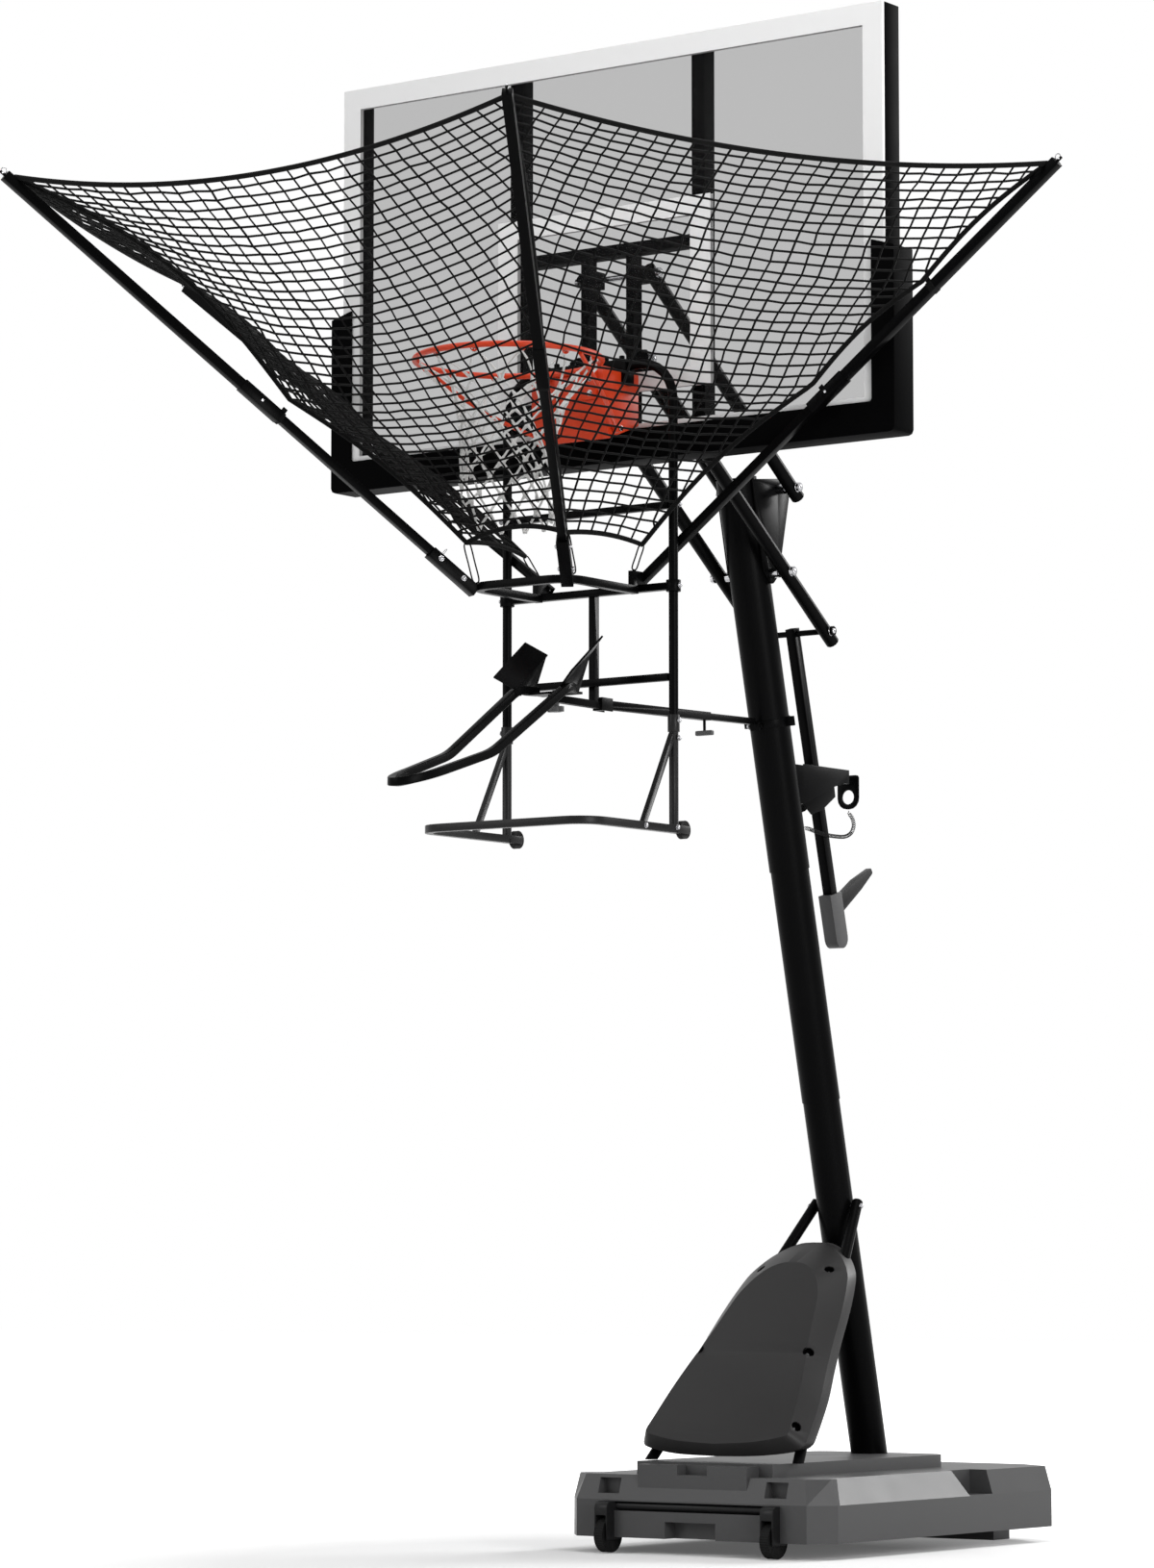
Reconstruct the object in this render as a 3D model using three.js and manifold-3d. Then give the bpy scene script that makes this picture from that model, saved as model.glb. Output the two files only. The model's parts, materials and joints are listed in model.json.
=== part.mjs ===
import * as THREE from 'three';
import { mergeVertices } from 'three/addons/utils/BufferGeometryUtils.js';
import Module from 'manifold-3d';

const wasm = await Module();
wasm.setup();

// A portable basketball goal with a ball-return net, frame and chute hung on its rim.
// Millimetres, +X to the right seen from the court, +Y away from the court, +Z up.
// Places are measured from the floor, the middle plane and the front of the backboard.

// Clearances
const gap = 0.3;
const runGap = 0.6;
const overrun = 3;

// Whole machine
const boardFaceY = -75.5;
const rimHeight = 3048;

const base = {
  halfWidth: 418.5, shoulderHalfWidth: 398.5, frontHalfWidth: 364, rearHalfWidth: 300,
  front: 388, sideFront: 453, sideRear: 1530, rear: 1621, shoulderInset: 20,
  bottom: 42, shoulder: 140, top: 206,
  deckHalfWidth: 215, deckFront: 455, deckRear: 1330, deckCorner: 60, deckTop: 240,
  blockHalfWidth: 172, blockFront: 398, blockTop: 234, notchHalfWidth: 47, notchDepth: 26, notchReach: 40,
  pocketInner: 230, pocketOuter: 298, pocketBottom: 156, pocketTop: 197, pocketDepth: 42,
  slopeInner: 360, slopeFoot: 462, slopeHead: 505,
  sidePocketFront: 1102, sidePocketRear: 1219, sidePocketInner: 346, sidePocketBottom: 142,
  toeHalfWidth: 80, toeTop: 86, toeDepth: 44,
  footHalfWidth: 250, footFront: 1500, footRear: 1585, socketDepth: 96,
};
const baseWheel = { centreX: 262, centreY: 388, radius: 48, width: 30, shoulder: 4, bore: 7, axle: 6, sides: 16 };
const carrier = { cheek: 4, slack: 1, top: 124, depth: 34, tubeRadius: 12, tubeY: 406, wheelSpace: 4 };

const pole = {
  lean: 13.7, footY: 1256, footZ: 250, lowerRadius: 50, middleRadius: 52.2, upperRadius: 55,
  wall: 1.9, lowerTop: 1060, middleBottom: 980, middleTop: 1730, upperBottom: 1620, top: 2692,
  sides: 24,
};
const strut = { footX: 234, footY: 547, radius: 15, boltZ: 915, topX: 68, boltRadius: 6, head: 10, headLength: 8 };
const hood = { wall: 4, lipZ: 262, slopeFootZ: 320, shoulderZ: 741, apexZ: 815, roundRadius: 30,
  lipY: 512, shoulderY: 893, apexY: 972, lipHalf: 262, footHalf: 252, shoulderHalf: 140, apexHalf: 34,
  lipDepth: 46, footDepth: 50, shoulderDepth: 34, apexDepth: 14 };
const headPlate = { thickness: 5, bottomReach: 36, frontY: 606, topFrontZ: 2858, topRearY: 752, topRearZ: 2877,
  rearY: 787, rearZ: 2834, cornerSteps: 5 };

// The arms form a parallelogram, so the board stays upright on its way down.
const arm = { centreX: 105, radius: 19, wall: 2, tail: 240, tailEnd: 44, tip: 19, bore: 8.6, sides: 12 };
const pivot = { lowerRearY: 700, lowerRearZ: 2613, lowerFrontY: 42, lowerFrontZ: 3096, upperRise: 232, upperShift: 30,
  radius: 8, head: 13, headLength: 9, collar: 14, sides: 12 };

const rod = { half: 14, wall: 2, topReach: 15, length: 762, hole: 5, holePitch: 118, holeStart: 120, holes: 5 };
const handle = { halfWidth: 20, top: 724, bottom: 876, front: 30, rear: 28, slotHalf: 9, slotDepth: 34, pivotDrop: 770 };
const trigger = { halfWidth: 7.5, hub: 6, pin: 3, reach: 196, rise: 62, tipHeight: 16, rootHeight: 34 };
const guide = { inner: 26, wall: 4, top: 2114, rearTip: 1128, frontY: 876, bottomZ: 1978, bridge: 26, bridgeHeight: 34 };
const lock = { pinZ: 2088, radius: 8, rearY: 1166, plateThickness: 6, plateHalfWidth: 34, plateTop: 16,
  plateBottom: 78, hole: 20, collar: 12, collarLength: 12, travel: 22, clear: 28 };
const tether = { cord: 3, coil: 10, curls: 12, stepsPerCurl: 8, sides: 5 };
// The coiled cord hangs from the grip plate in a loop and comes back to the pole.
const tetherRoute = [
  [0, 1169, 2006], [2, 1170, 1998], [15, 1166, 1984], [25, 1157, 1963], [29, 1138, 1942], [31, 1104, 1929],
  [31, 1060, 1926], [31, 1010, 1927], [32, 958, 1932], [32, 922, 1937], [27, 901, 1940],
];

const board = {
  halfWidth: 862.5, bottom: 2866, top: 3927, glass: 13, depth: 81, rail: 40, railTop: 36,
  stileX: 291, stileHalf: 20, stileFront: 16, stileRear: 62, barBottom: 3374, barTop: 3404,
  bracketX: 72, bracketHalf: 12, bracketFront: 20, bracketRear: 58, lug: 22,
};
const pad = { halfWidth: 898, front: -7, rear: 85, bottom: 2827, lipTop: 2909, lipInner: 830, innerTop: 3320,
  outerTop: 3300, corner: 14, cornerSteps: 2 };

const rim = { radius: 237, rod: 8, centreY: -412, sides: 6, segments: 28, tongueHalf: 96, tongue: 5,
  tongueBottom: 2966, braceRod: 5.5, braceStartShare: 0.07, braceBendShare: 1.66, hooks: 12, hookRadius: 3, hookDrop: 7 };
const housing = { halfWidth: 114, top: 3051, front: 158, frontBottom: 2962, lowFront: 132, low: 2866,
  rearLow: 2914, wall: 4, padClearance: 8, pinY: -112, pinZ: 2892, pinRadius: 5, pinHead: 7, pinReach: 136 };
const hoop = { bottom: 2606, topRadius: 225, midRadius: 150, bottomRadius: 142, columns: 12, rows: 2,
  strand: 4.5, thickness: 5, rest: 16 };

// Ball-return frame
const tube = { radius: 12.5, wall: 1.8, sides: 10, bar: 9.5 };
const hook = { legX: 264, legY: -60, bend: 100, endX: 62, bottom: 2122.3, bendSteps: 6 };
const clamp = { inner: 28, outer: 129, halfDepth: 20, rise: 15, lip: 38, knobRadius: 8, knobHeight: 13, knobInsetShare: 0.25 };
const frame = {
  upperBarZ: 2690, netBarZ: 2481, midBarZ: 2248, collarRadius: 19, collarHalf: 15,
  postY: -40, centreBarZ: 2195, chuteY: -207, barFront: -228, barRear: -8,
  forkHalf: 15, forkInner: 11.6, forkLength: 32, forkHalfHeight: 17,
};
const netBase = { halfWidth: 152, front: -367, bar: 10, corner: 60, cornerSteps: 5, frontZ: 2477,
  bracketHalf: 8, bracketTop: 2526, socketStart: -16, socketLength: 140, socketHalf: 15.5, socketWall: 3,
  socketDrop: 14, socketRise: 12 };
const netPole = { tipX: 771, tipY: -1456, tipZ: 3431, rearTipX: 1389, rearTipZ: 3441, rearY: -35, rearStartZ: 2508,
  lower: 11, upper: 12.5, wall: 1.6, stepShare: 0.47, collarShares: [0.42, 0.5], collar: 15, tip: 4, tipLength: 16,
  rearBack: 14, pin: 4 };
const net = { hemHalf: 156, hemFront: -380, hemRearHalf: 186, hemRear: -88, hemZ: 2590, cells: 7, strand: 5, edge: 11, thickness: 5,
  frontSag: 90, sideSag: 74, belly: 26, seam: 3.5, lift: 15.3, frontLift: 14.2, setback: 22, tie: 3, tieBottom: 2492 };
const chute = { hubZ: 2205.3, hub: 6, hubHalf: 62, railRadius: 10, railSides: 8,
  startX: 80, startY: -262, startZ: 2226, midX: 69, midY: -569, midZ: 2024, endX: 57, endY: -745, endZ: 1969,
  tipY: -867, tipZ: 1932, tipSteps: 8, railEndX: 57,
  wing: 5, wingX: 96, wingY: -228, wingZ: 2283, wingLength: 169, wingWidth: 69, wingPitch: 37, wingFlare: 45,
  gussetX: 70.5, gussetFront: -290, gussetRear: -155, gussetBottom: 2199, gussetFrontTop: 2213, gussetRearTop: 2313 };
const knob = { shaft: 5, radius: 16, height: 14, drop: 10, armHalf: 22, armHalfWidth: 6, flange: 9, flangeHeight: 5 };
const lower = { barZ: 1858, bar: 10, frontY: -440, corner: 70, cornerSteps: 5, sleeve: 16, sleeveTop: 2150,
  braceTop: 2100, braceFootY: -200, brace: 7, rear: -45, cheek: 3, cheekInner: 9.4, cheekRear: -6 };
const frameWheel = { y: -19, z: 1859, radius: 24.5, width: 17, bore: 4.6, axle: 4, sides: 16 };
const strap = { pivotY: 10, pivotZ: 2198, outer: 11, outerWall: 1.6, outerLength: 470, noseReach: 12, pin: 4,
  inner: 8.6, innerStart: 24, lugRise: 27, angle: 1.33, screwBack: 16 };
const screw = { shaft: 4, drop: 34, hub: 7, hubHeight: 6, barHalf: 26, bar: 3.5 };
const band = { along: 2026, half: 11, thickness: 3, lugHalf: 14, lugReach: 18, boltRadius: 5, boltHead: 5 };

// Looks
const look = (color, roughness, metalness) => () => new THREE.MeshStandardMaterial({ color, roughness, metalness });
const blackSteel = look(0x17181a, 0.45, 0.35);
const darkPlastic = look(0x3a3b3d, 0.6, 0);
const blackRubber = look(0x141414, 0.85, 0);
const chrome = look(0xc6c7ca, 0.2, 1);
const orange = look(0xe8531f, 0.4, 0.1);
const whiteCord = look(0xf1f1ef, 0.9, 0);
const blackCord = look(0x101010, 0.9, 0);
const clear = () => new THREE.MeshStandardMaterial({ color: 0xbababa, roughness: 0.1, transparent: true, opacity: 0.4 });

const radians = THREE.MathUtils.degToRad;
const point = (x, y, z) => new THREE.Vector3(x, y, z);

// Turns a closed three.js geometry into a solid that can be joined and cut.
function solidOf(geometry) {
  const bare = geometry.clone();
  bare.deleteAttribute('normal');
  bare.deleteAttribute('uv');
  const welded = mergeVertices(bare);
  const vertProperties = Float32Array.from(welded.attributes.position.array);
  const triVerts = Uint32Array.from(welded.index.array);
  return new wasm.Manifold(new wasm.Mesh({ numProp: 3, vertProperties, triVerts }));
}

function geometryOf(solid) {
  const mesh = solid.getMesh();
  const geometry = new THREE.BufferGeometry();
  geometry.setAttribute('position', new THREE.BufferAttribute(mesh.vertProperties, 3));
  geometry.setIndex(new THREE.BufferAttribute(mesh.triVerts, 1));
  return geometry;
}

function join(...geometries) {
  return geometryOf(geometries.map(solidOf).reduce((whole, next) => whole.add(next)));
}

function cut(body, ...tools) {
  return geometryOf(tools.map(solidOf).reduce((whole, tool) => whole.subtract(tool), solidOf(body)));
}

// A box between two corners.
function block(x0, x1, y0, y1, z0, z1) {
  const geometry = new THREE.BoxGeometry(x1 - x0, y1 - y0, z1 - z0);
  return geometry.translate((x0 + x1) / 2, (y0 + y1) / 2, (z0 + z1) / 2);
}

// A round bar between two points.
function bar(from, to, radius, sides = tube.sides) {
  const geometry = new THREE.CylinderGeometry(radius, radius, from.distanceTo(to), sides);
  const along = to.clone().sub(from).normalize();
  geometry.applyQuaternion(new THREE.Quaternion().setFromUnitVectors(point(0, 1, 0), along));
  return geometry.translate(...from.clone().add(to).multiplyScalar(1 / 2).toArray());
}

const barX = (x0, x1, y, z, radius, sides) => bar(point(x0, y, z), point(x1, y, z), radius, sides);
const barY = (x, y0, y1, z, radius, sides) => bar(point(x, y0, z), point(x, y1, z), radius, sides);
const barZ = (x, y, z0, z1, radius, sides) => bar(point(x, y, z0), point(x, y, z1), radius, sides);

// A route through listed points, one step for each.
class Route extends THREE.Curve {
  constructor(points) {
    super();
    this.points = points;
  }

  getPoint(share, target = new THREE.Vector3()) {
    const place = share * (this.points.length - 1);
    const index = Math.min(Math.floor(place), this.points.length - 2);
    return target.lerpVectors(this.points[index], this.points[index + 1], place - index);
  }

  getUtoTmapping(share) {
    return share;
  }
}

function ringOf(radius, sides, turn = 0) {
  return Array.from({ length: sides }, (_, index) => {
    const angle = turn + 2 * Math.PI * index / sides;
    return new THREE.Vector2(radius * Math.cos(angle), radius * Math.sin(angle));
  });
}

const squareOf = (half) => ringOf(half * Math.SQRT2, 4, Math.PI / 4);

// Sweeps an outline, with an open bore where one is given, along listed points.
function sweep(points, outline, bore) {
  const shape = new THREE.Shape(outline);
  if (bore) shape.holes.push(new THREE.Path(bore));
  return new THREE.ExtrudeGeometry(shape, { steps: points.length - 1, extrudePath: new Route(points) });
}

// Outlines in a plane, extruded square to it.
const shapeOf = (corners) => new THREE.Shape(corners.map(([a, b]) => new THREE.Vector2(a, b)));
const slab = (shape, depth) => new THREE.ExtrudeGeometry(shape, { depth, bevelEnabled: false, curveSegments: 6 });

function plateX(corners, x0, x1) {
  const basis = new THREE.Matrix4().makeBasis(point(0, 1, 0), point(0, 0, 1), point(1, 0, 0));
  return slab(shapeOf(corners), x1 - x0).applyMatrix4(basis).translate(x0, 0, 0);
}

function plateY(corners, y0, y1) {
  const basis = new THREE.Matrix4().makeBasis(point(1, 0, 0), point(0, 0, 1), point(0, -1, 0));
  return slab(shapeOf(corners), y1 - y0).applyMatrix4(basis).translate(0, y1, 0);
}

const plateZ = (corners, z0, z1) => slab(shapeOf(corners), z1 - z0).translate(0, 0, z0);

// Rounds the corners of an outline whose corners are [a, b, radius].
function rounded(corners, steps) {
  return corners.flatMap(([a, b, radius = 0], index) => {
    if (!radius) return [[a, b]];
    const before = corners.at(index - 1);
    const after = corners[(index + 1) % corners.length];
    const here = new THREE.Vector2(a, b);
    const back = new THREE.Vector2(before[0], before[1]).sub(here).normalize();
    const ahead = new THREE.Vector2(after[0], after[1]).sub(here).normalize();
    const half = Math.acos(THREE.MathUtils.clamp(back.dot(ahead), -1, 1)) / 2;
    const start = here.clone().addScaledVector(back, radius / Math.tan(half));
    const end = here.clone().addScaledVector(ahead, radius / Math.tan(half));
    const middle = here.clone().addScaledVector(back.clone().add(ahead).normalize(), radius / Math.sin(half));
    const first = start.clone().sub(middle).angle();
    let turn = end.clone().sub(middle).angle() - first;
    if (turn > Math.PI) turn -= 2 * Math.PI;
    if (turn < -Math.PI) turn += 2 * Math.PI;
    return Array.from({ length: steps + 1 }, (_, step) => {
      const angle = first + turn * step / steps;
      return [middle.x + radius * Math.cos(angle), middle.y + radius * Math.sin(angle)];
    });
  });
}

const mirrored = (half) => [...half, ...half.map(([a, ...rest]) => [-a, ...rest]).reverse()];

// A body through rings of equal point counts, one above the other.
function loft(rings) {
  const count = rings[0].length;
  const positions = rings.flat().flatMap((place) => place);
  const index = [];
  rings.slice(1).forEach((_, level) => {
    for (let side = 0; side < count; side += 1) {
      const a = level * count + side;
      const b = level * count + (side + 1) % count;
      index.push(a, b, b + count, a, b + count, a + count);
    }
  });
  const flat = rings.map((ring) => ring.map(([x, y]) => new THREE.Vector2(x, y)));
  const top = (rings.length - 1) * count;
  THREE.ShapeUtils.triangulateShape(flat[0], []).forEach(([a, b, c]) => index.push(a, c, b));
  THREE.ShapeUtils.triangulateShape(flat.at(-1), []).forEach(([a, b, c]) => index.push(top + a, top + b, top + c));
  const geometry = new THREE.BufferGeometry();
  geometry.setAttribute('position', new THREE.Float32BufferAttribute(positions, 3));
  geometry.setIndex(index);
  return geometry;
}

// A sheet with its cells open. Each cell lists corners as { place, normal } and the width kept along each edge;
// an edge marked free is an outer edge of the sheet.
function openSheet(cells, thickness) {
  const positions = [];
  const quad = (a, b, c, d) => [a, b, c, a, c, d].forEach((corner) => positions.push(...corner.toArray()));
  const lifted = ({ place, normal }, side) => place.clone().addScaledVector(normal, side * thickness / 2);
  cells.forEach(({ corners, widths, free }) => {
    const count = corners.length;
    const edges = corners.map(({ place }, k) => corners[(k + 1) % count].place.clone().sub(place).normalize());
    const inner = corners.map(({ place, normal }, k) => {
      const arriving = edges[(k + count - 1) % count];
      const leaving = edges[k];
      const sine = arriving.clone().cross(leaving).length();
      const shifted = place.clone()
        .addScaledVector(leaving, widths[(k + count - 1) % count] / sine)
        .addScaledVector(arriving, -widths[k] / sine);
      return { place: shifted, normal };
    });
    corners.forEach((corner, k) => {
      const next = (k + 1) % count;
      const [a, b, c, d] = [corner, corners[next], inner[next], inner[k]];
      quad(lifted(a, 1), lifted(b, 1), lifted(c, 1), lifted(d, 1));
      quad(lifted(a, -1), lifted(d, -1), lifted(c, -1), lifted(b, -1));
      quad(lifted(d, 1), lifted(c, 1), lifted(c, -1), lifted(d, -1));
      if (free[k]) quad(lifted(b, 1), lifted(a, 1), lifted(a, -1), lifted(b, -1));
    });
  });
  const geometry = new THREE.BufferGeometry();
  geometry.setAttribute('position', new THREE.Float32BufferAttribute(positions, 3));
  return mergeVertices(geometry, 1e-3);
}

const machine = new THREE.Group();
machine.position.y = boardFaceY;

function add(parent, name, geometry, material, place = [0, 0, 0]) {
  const mesh = new THREE.Mesh(geometry, material());
  mesh.name = name;
  mesh.position.set(...place);
  parent.add(mesh);
  return mesh;
}

const sides = [['left', -1], ['right', 1]];

// Pole frame: its Z runs up the leaning pole from the foot.
const poleGroup = new THREE.Group();
poleGroup.position.set(0, pole.footY, pole.footZ);
poleGroup.rotation.x = radians(pole.lean);
machine.add(poleGroup);
poleGroup.updateMatrix();
const intoPole = poleGroup.matrix.clone().invert();
const poleSlope = Math.tan(radians(pole.lean));
const poleAxisY = (z) => pole.footY - (z - pole.footZ) * poleSlope;

// Base tank
function baseOutline(scaleX, shift) {
  const { frontHalfWidth, halfWidth, rearHalfWidth, front, sideFront, sideRear, rear } = base;
  const half = [
    [frontHalfWidth, front + shift], [halfWidth, sideFront], [halfWidth, sideRear], [rearHalfWidth, rear - shift],
  ];
  return mirrored(half.map(([x, y]) => [x * scaleX, y]));
}

// The side falls away in a slope between the front corner and the side pocket.
function sideSlope(side) {
  const { halfWidth, shoulder, top, slopeInner, slopeFoot, slopeHead, sidePocketFront } = base;
  const rear = sidePocketFront + overrun;
  const past = 1 + overrun / (top - shoulder);
  const inner = THREE.MathUtils.lerp(halfWidth, slopeInner, past);
  const head = THREE.MathUtils.lerp(slopeFoot, slopeHead, past);
  const outer = halfWidth + overrun;
  const low = [[halfWidth, slopeFoot], [outer, slopeFoot], [outer, rear], [halfWidth, rear]];
  const high = [[inner, head], [outer, slopeFoot], [outer, rear], [inner, rear]];
  const raised = (ring, z) => (side > 0 ? ring : [...ring].reverse()).map(([x, y]) => [side * x, y, z]);
  return loft([raised(low, shoulder), raised(high, top + overrun)]);
}

function baseTank() {
  const raised = (outline, z) => outline.map(([x, y]) => [x, y, z]);
  const wide = baseOutline(1, 0);
  const narrow = baseOutline(base.shoulderHalfWidth / base.halfWidth, base.shoulderInset);
  const body = loft([raised(wide, base.bottom), raised(wide, base.shoulder), raised(narrow, base.top)]);
  const deck = plateZ(rounded([
    [-base.deckHalfWidth, base.deckFront], [base.deckHalfWidth, base.deckFront],
    [base.deckHalfWidth, base.deckRear, base.deckCorner], [-base.deckHalfWidth, base.deckRear, base.deckCorner],
  ], 4), base.shoulder, base.deckTop);
  const { blockHalfWidth, blockFront, blockTop, footHalfWidth, footFront, footRear } = base;
  const front = block(-blockHalfWidth, blockHalfWidth, blockFront, base.deckFront + overrun, base.shoulder, blockTop);
  const foot = block(-footHalfWidth, footHalfWidth, footFront, footRear, 0, base.bottom + overrun);
  const notch = block(-base.notchHalfWidth, base.notchHalfWidth, base.front, base.blockFront + base.notchReach,
    base.blockTop - base.notchDepth, base.deckTop);
  const toe = block(-base.toeHalfWidth, base.toeHalfWidth, base.front - overrun, base.front + base.toeDepth,
    base.bottom - overrun, base.toeTop);
  const tubeClear = carrier.tubeRadius + gap;
  const tubeZ = carrier.top;
  const groove = block(-baseWheel.centreX, baseWheel.centreX, base.front - overrun, carrier.tubeY + tubeClear,
    tubeZ - tubeClear, tubeZ + tubeClear);
  const wellHalf = baseWheel.width / 2 + carrier.slack + carrier.cheek + gap;
  const wellRear = baseWheel.centreY + baseWheel.radius + carrier.wheelSpace;
  const cuts = sides.flatMap(([, side]) => {
    const middle = side * baseWheel.centreX;
    const pocketX = [side * base.pocketInner, side * base.pocketOuter].sort((a, b) => a - b);
    const sideX = [side * base.sidePocketInner, side * (base.halfWidth + overrun)].sort((a, b) => a - b);
    return [
      block(middle - wellHalf, middle + wellHalf, base.front - overrun, wellRear, base.bottom - overrun,
        carrier.top + carrier.tubeRadius + gap),
      block(...pocketX, base.front - overrun, base.front + base.pocketDepth, base.pocketBottom, base.pocketTop),
      block(...sideX, base.sidePocketFront, base.sidePocketRear, base.sidePocketBottom, base.top + overrun),
      sideSlope(side),
    ];
  });
  const socket = barZ(0, 0, -base.socketDepth, base.socketDepth, pole.lowerRadius + gap, pole.sides);
  socket.applyMatrix4(poleGroup.matrix);
  return cut(join(body, deck, front, foot), notch, toe, groove, socket, ...cuts);
}

function wheelCarrier() {
  const { width, centreX, centreY, radius, axle } = baseWheel;
  const inner = width / 2 + carrier.slack;
  const outer = inner + carrier.cheek;
  const tubeZ = carrier.top;
  const cross = barX(-centreX, centreX, carrier.tubeY, tubeZ, carrier.tubeRadius, 12);
  const forkRear = carrier.tubeY + carrier.tubeRadius;
  const forkFront = centreY - carrier.depth;
  const profile = rounded([
    [forkFront, radius - axle * 2], [forkRear, radius - axle * 2], [forkRear, tubeZ + carrier.tubeRadius],
    [forkFront, tubeZ + carrier.tubeRadius, carrier.depth / 2],
  ], 3);
  const forks = sides.flatMap(([, side]) => [
    plateX(profile, side * centreX - outer, side * centreX + outer),
  ]);
  const spaces = sides.map(([, side]) => block(side * centreX - inner, side * centreX + inner,
    forkFront - radius, forkRear + radius, 0, radius * 2 + carrier.wheelSpace));
  const axles = sides.map(([, side]) => barX(side * centreX - outer, side * centreX + outer, centreY, radius, axle, 12));
  return join(cut(join(cross, ...forks), ...spaces), ...axles);
}

function wheel({ radius, width, bore, shoulder, sides: count }) {
  const half = width / 2;
  const profile = [
    [bore, -half], [radius - shoulder, -half], [radius, -half + shoulder], [radius, half - shoulder],
    [radius - shoulder, half], [bore, half], [bore, -half],
  ].map(([r, h]) => new THREE.Vector2(r, h));
  return new THREE.LatheGeometry(profile, count).rotateZ(Math.PI / 2);
}

add(machine, 'base_tank', baseTank(), darkPlastic);
add(machine, 'wheel_carrier', wheelCarrier(), blackSteel);
sides.forEach(([name, side]) => {
  const place = [side * baseWheel.centreX, baseWheel.centreY, baseWheel.radius];
  add(machine, `base_wheel_${name}`, wheel(baseWheel), blackRubber, place);
});

// Pole sections, each sliding in the next
function poleTube(radius, bore, bottom, top) {
  const profile = [[bore, bottom], [radius, bottom], [radius, top], [bore, top], [bore, bottom]];
  return new THREE.LatheGeometry(profile.map(([r, z]) => new THREE.Vector2(r, z)), pole.sides).rotateX(Math.PI / 2);
}

const strutTopY = poleAxisY(strut.boltZ);
const strutBolt = (radius, reach) => barX(-reach, reach, strutTopY, strut.boltZ, radius, 12);
const lowerBolt = (radius, reach) => barX(-reach, reach, pivot.lowerRearY, pivot.lowerRearZ, radius, pivot.sides);
const poleBore = (tool) => tool.applyMatrix4(intoPole);

const lowerPole = poleTube(pole.lowerRadius, pole.lowerRadius - pole.wall, gap - base.socketDepth, pole.lowerTop);
add(poleGroup, 'pole_lower', cut(lowerPole, poleBore(strutBolt(strut.boltRadius + runGap, pole.upperRadius * 2))), blackSteel);
add(poleGroup, 'pole_middle', poleTube(pole.middleRadius, pole.lowerRadius + gap, pole.middleBottom, pole.middleTop), blackSteel);
const upperPole = poleTube(pole.upperRadius, pole.middleRadius + gap, pole.upperBottom, pole.top);
add(poleGroup, 'pole_upper', cut(upperPole, poleBore(lowerBolt(pivot.radius + runGap, pole.upperRadius * 2))), blackSteel);

// Struts from the deck to the pole
function strutPiece(side) {
  const foot = point(side * strut.footX, strut.footY, base.deckTop + gap);
  const head = point(side * strut.topX, strutTopY, strut.boltZ);
  const past = head.clone().sub(foot).normalize().multiplyScalar(strut.radius);
  const rodPiece = bar(foot.clone().sub(past), head.clone().add(past), strut.radius, 12);
  const under = block(-base.halfWidth, base.halfWidth, base.front, base.rear, 0, base.deckTop + gap);
  return cut(rodPiece, under, strutBolt(strut.boltRadius + runGap, base.halfWidth));
}
sides.forEach(([name, side]) => add(machine, `strut_${name}`, strutPiece(side), blackSteel));
const strutReach = strut.topX + strut.radius * 2;
add(machine, 'strut_bolt', join(
  strutBolt(strut.boltRadius, strutReach),
  ...sides.map(([, side]) => barX(side * strutReach, side * (strutReach + strut.headLength), strutTopY, strut.boltZ,
    strut.head, 6)),
), chrome);

// Moulded hood over the struts, open at its back and foot
function hoodRing(z, frontY, half, depth, inset) {
  const rear = frontY + depth;
  const radius = Math.max(Math.min(hood.roundRadius, depth - hood.wall) - inset, hood.wall / 2);
  const outline = rounded([
    [-half + inset, rear + inset * 2], [-half + inset, frontY + inset, radius], [half - inset, frontY + inset, radius],
    [half - inset, rear + inset * 2],
  ], 3);
  return outline.map(([x, y]) => [x, y, z]);
}

function hoodShell() {
  const levels = [
    [base.deckTop + gap, hood.lipY, hood.lipHalf, hood.lipDepth],
    [hood.slopeFootZ, hood.lipY + hood.roundRadius, hood.footHalf, hood.footDepth],
    [hood.shoulderZ, hood.shoulderY, hood.shoulderHalf, hood.shoulderDepth],
    [hood.apexZ, hood.apexY, hood.apexHalf, hood.apexDepth],
  ];
  const outer = loft(levels.map((level) => hoodRing(...level, 0)));
  const innerLevels = levels.map(([z, y, half, depth], index) => {
    if (index === 0) return [z - overrun, y, half, depth];
    if (index === levels.length - 1) return [z - hood.wall * 2, y, half, depth];
    return [z, y, half, depth];
  });
  return cut(outer, loft(innerLevels.map((level) => hoodRing(...level, hood.wall))));
}
add(machine, 'hood', hoodShell(), darkPlastic);

// Pole head
const upperRearY = pivot.lowerRearY + pivot.upperShift;
const upperRearZ = pivot.lowerRearZ + pivot.upperRise;
const upperFrontY = pivot.lowerFrontY + pivot.upperShift;
const upperFrontZ = pivot.lowerFrontZ + pivot.upperRise;

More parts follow.
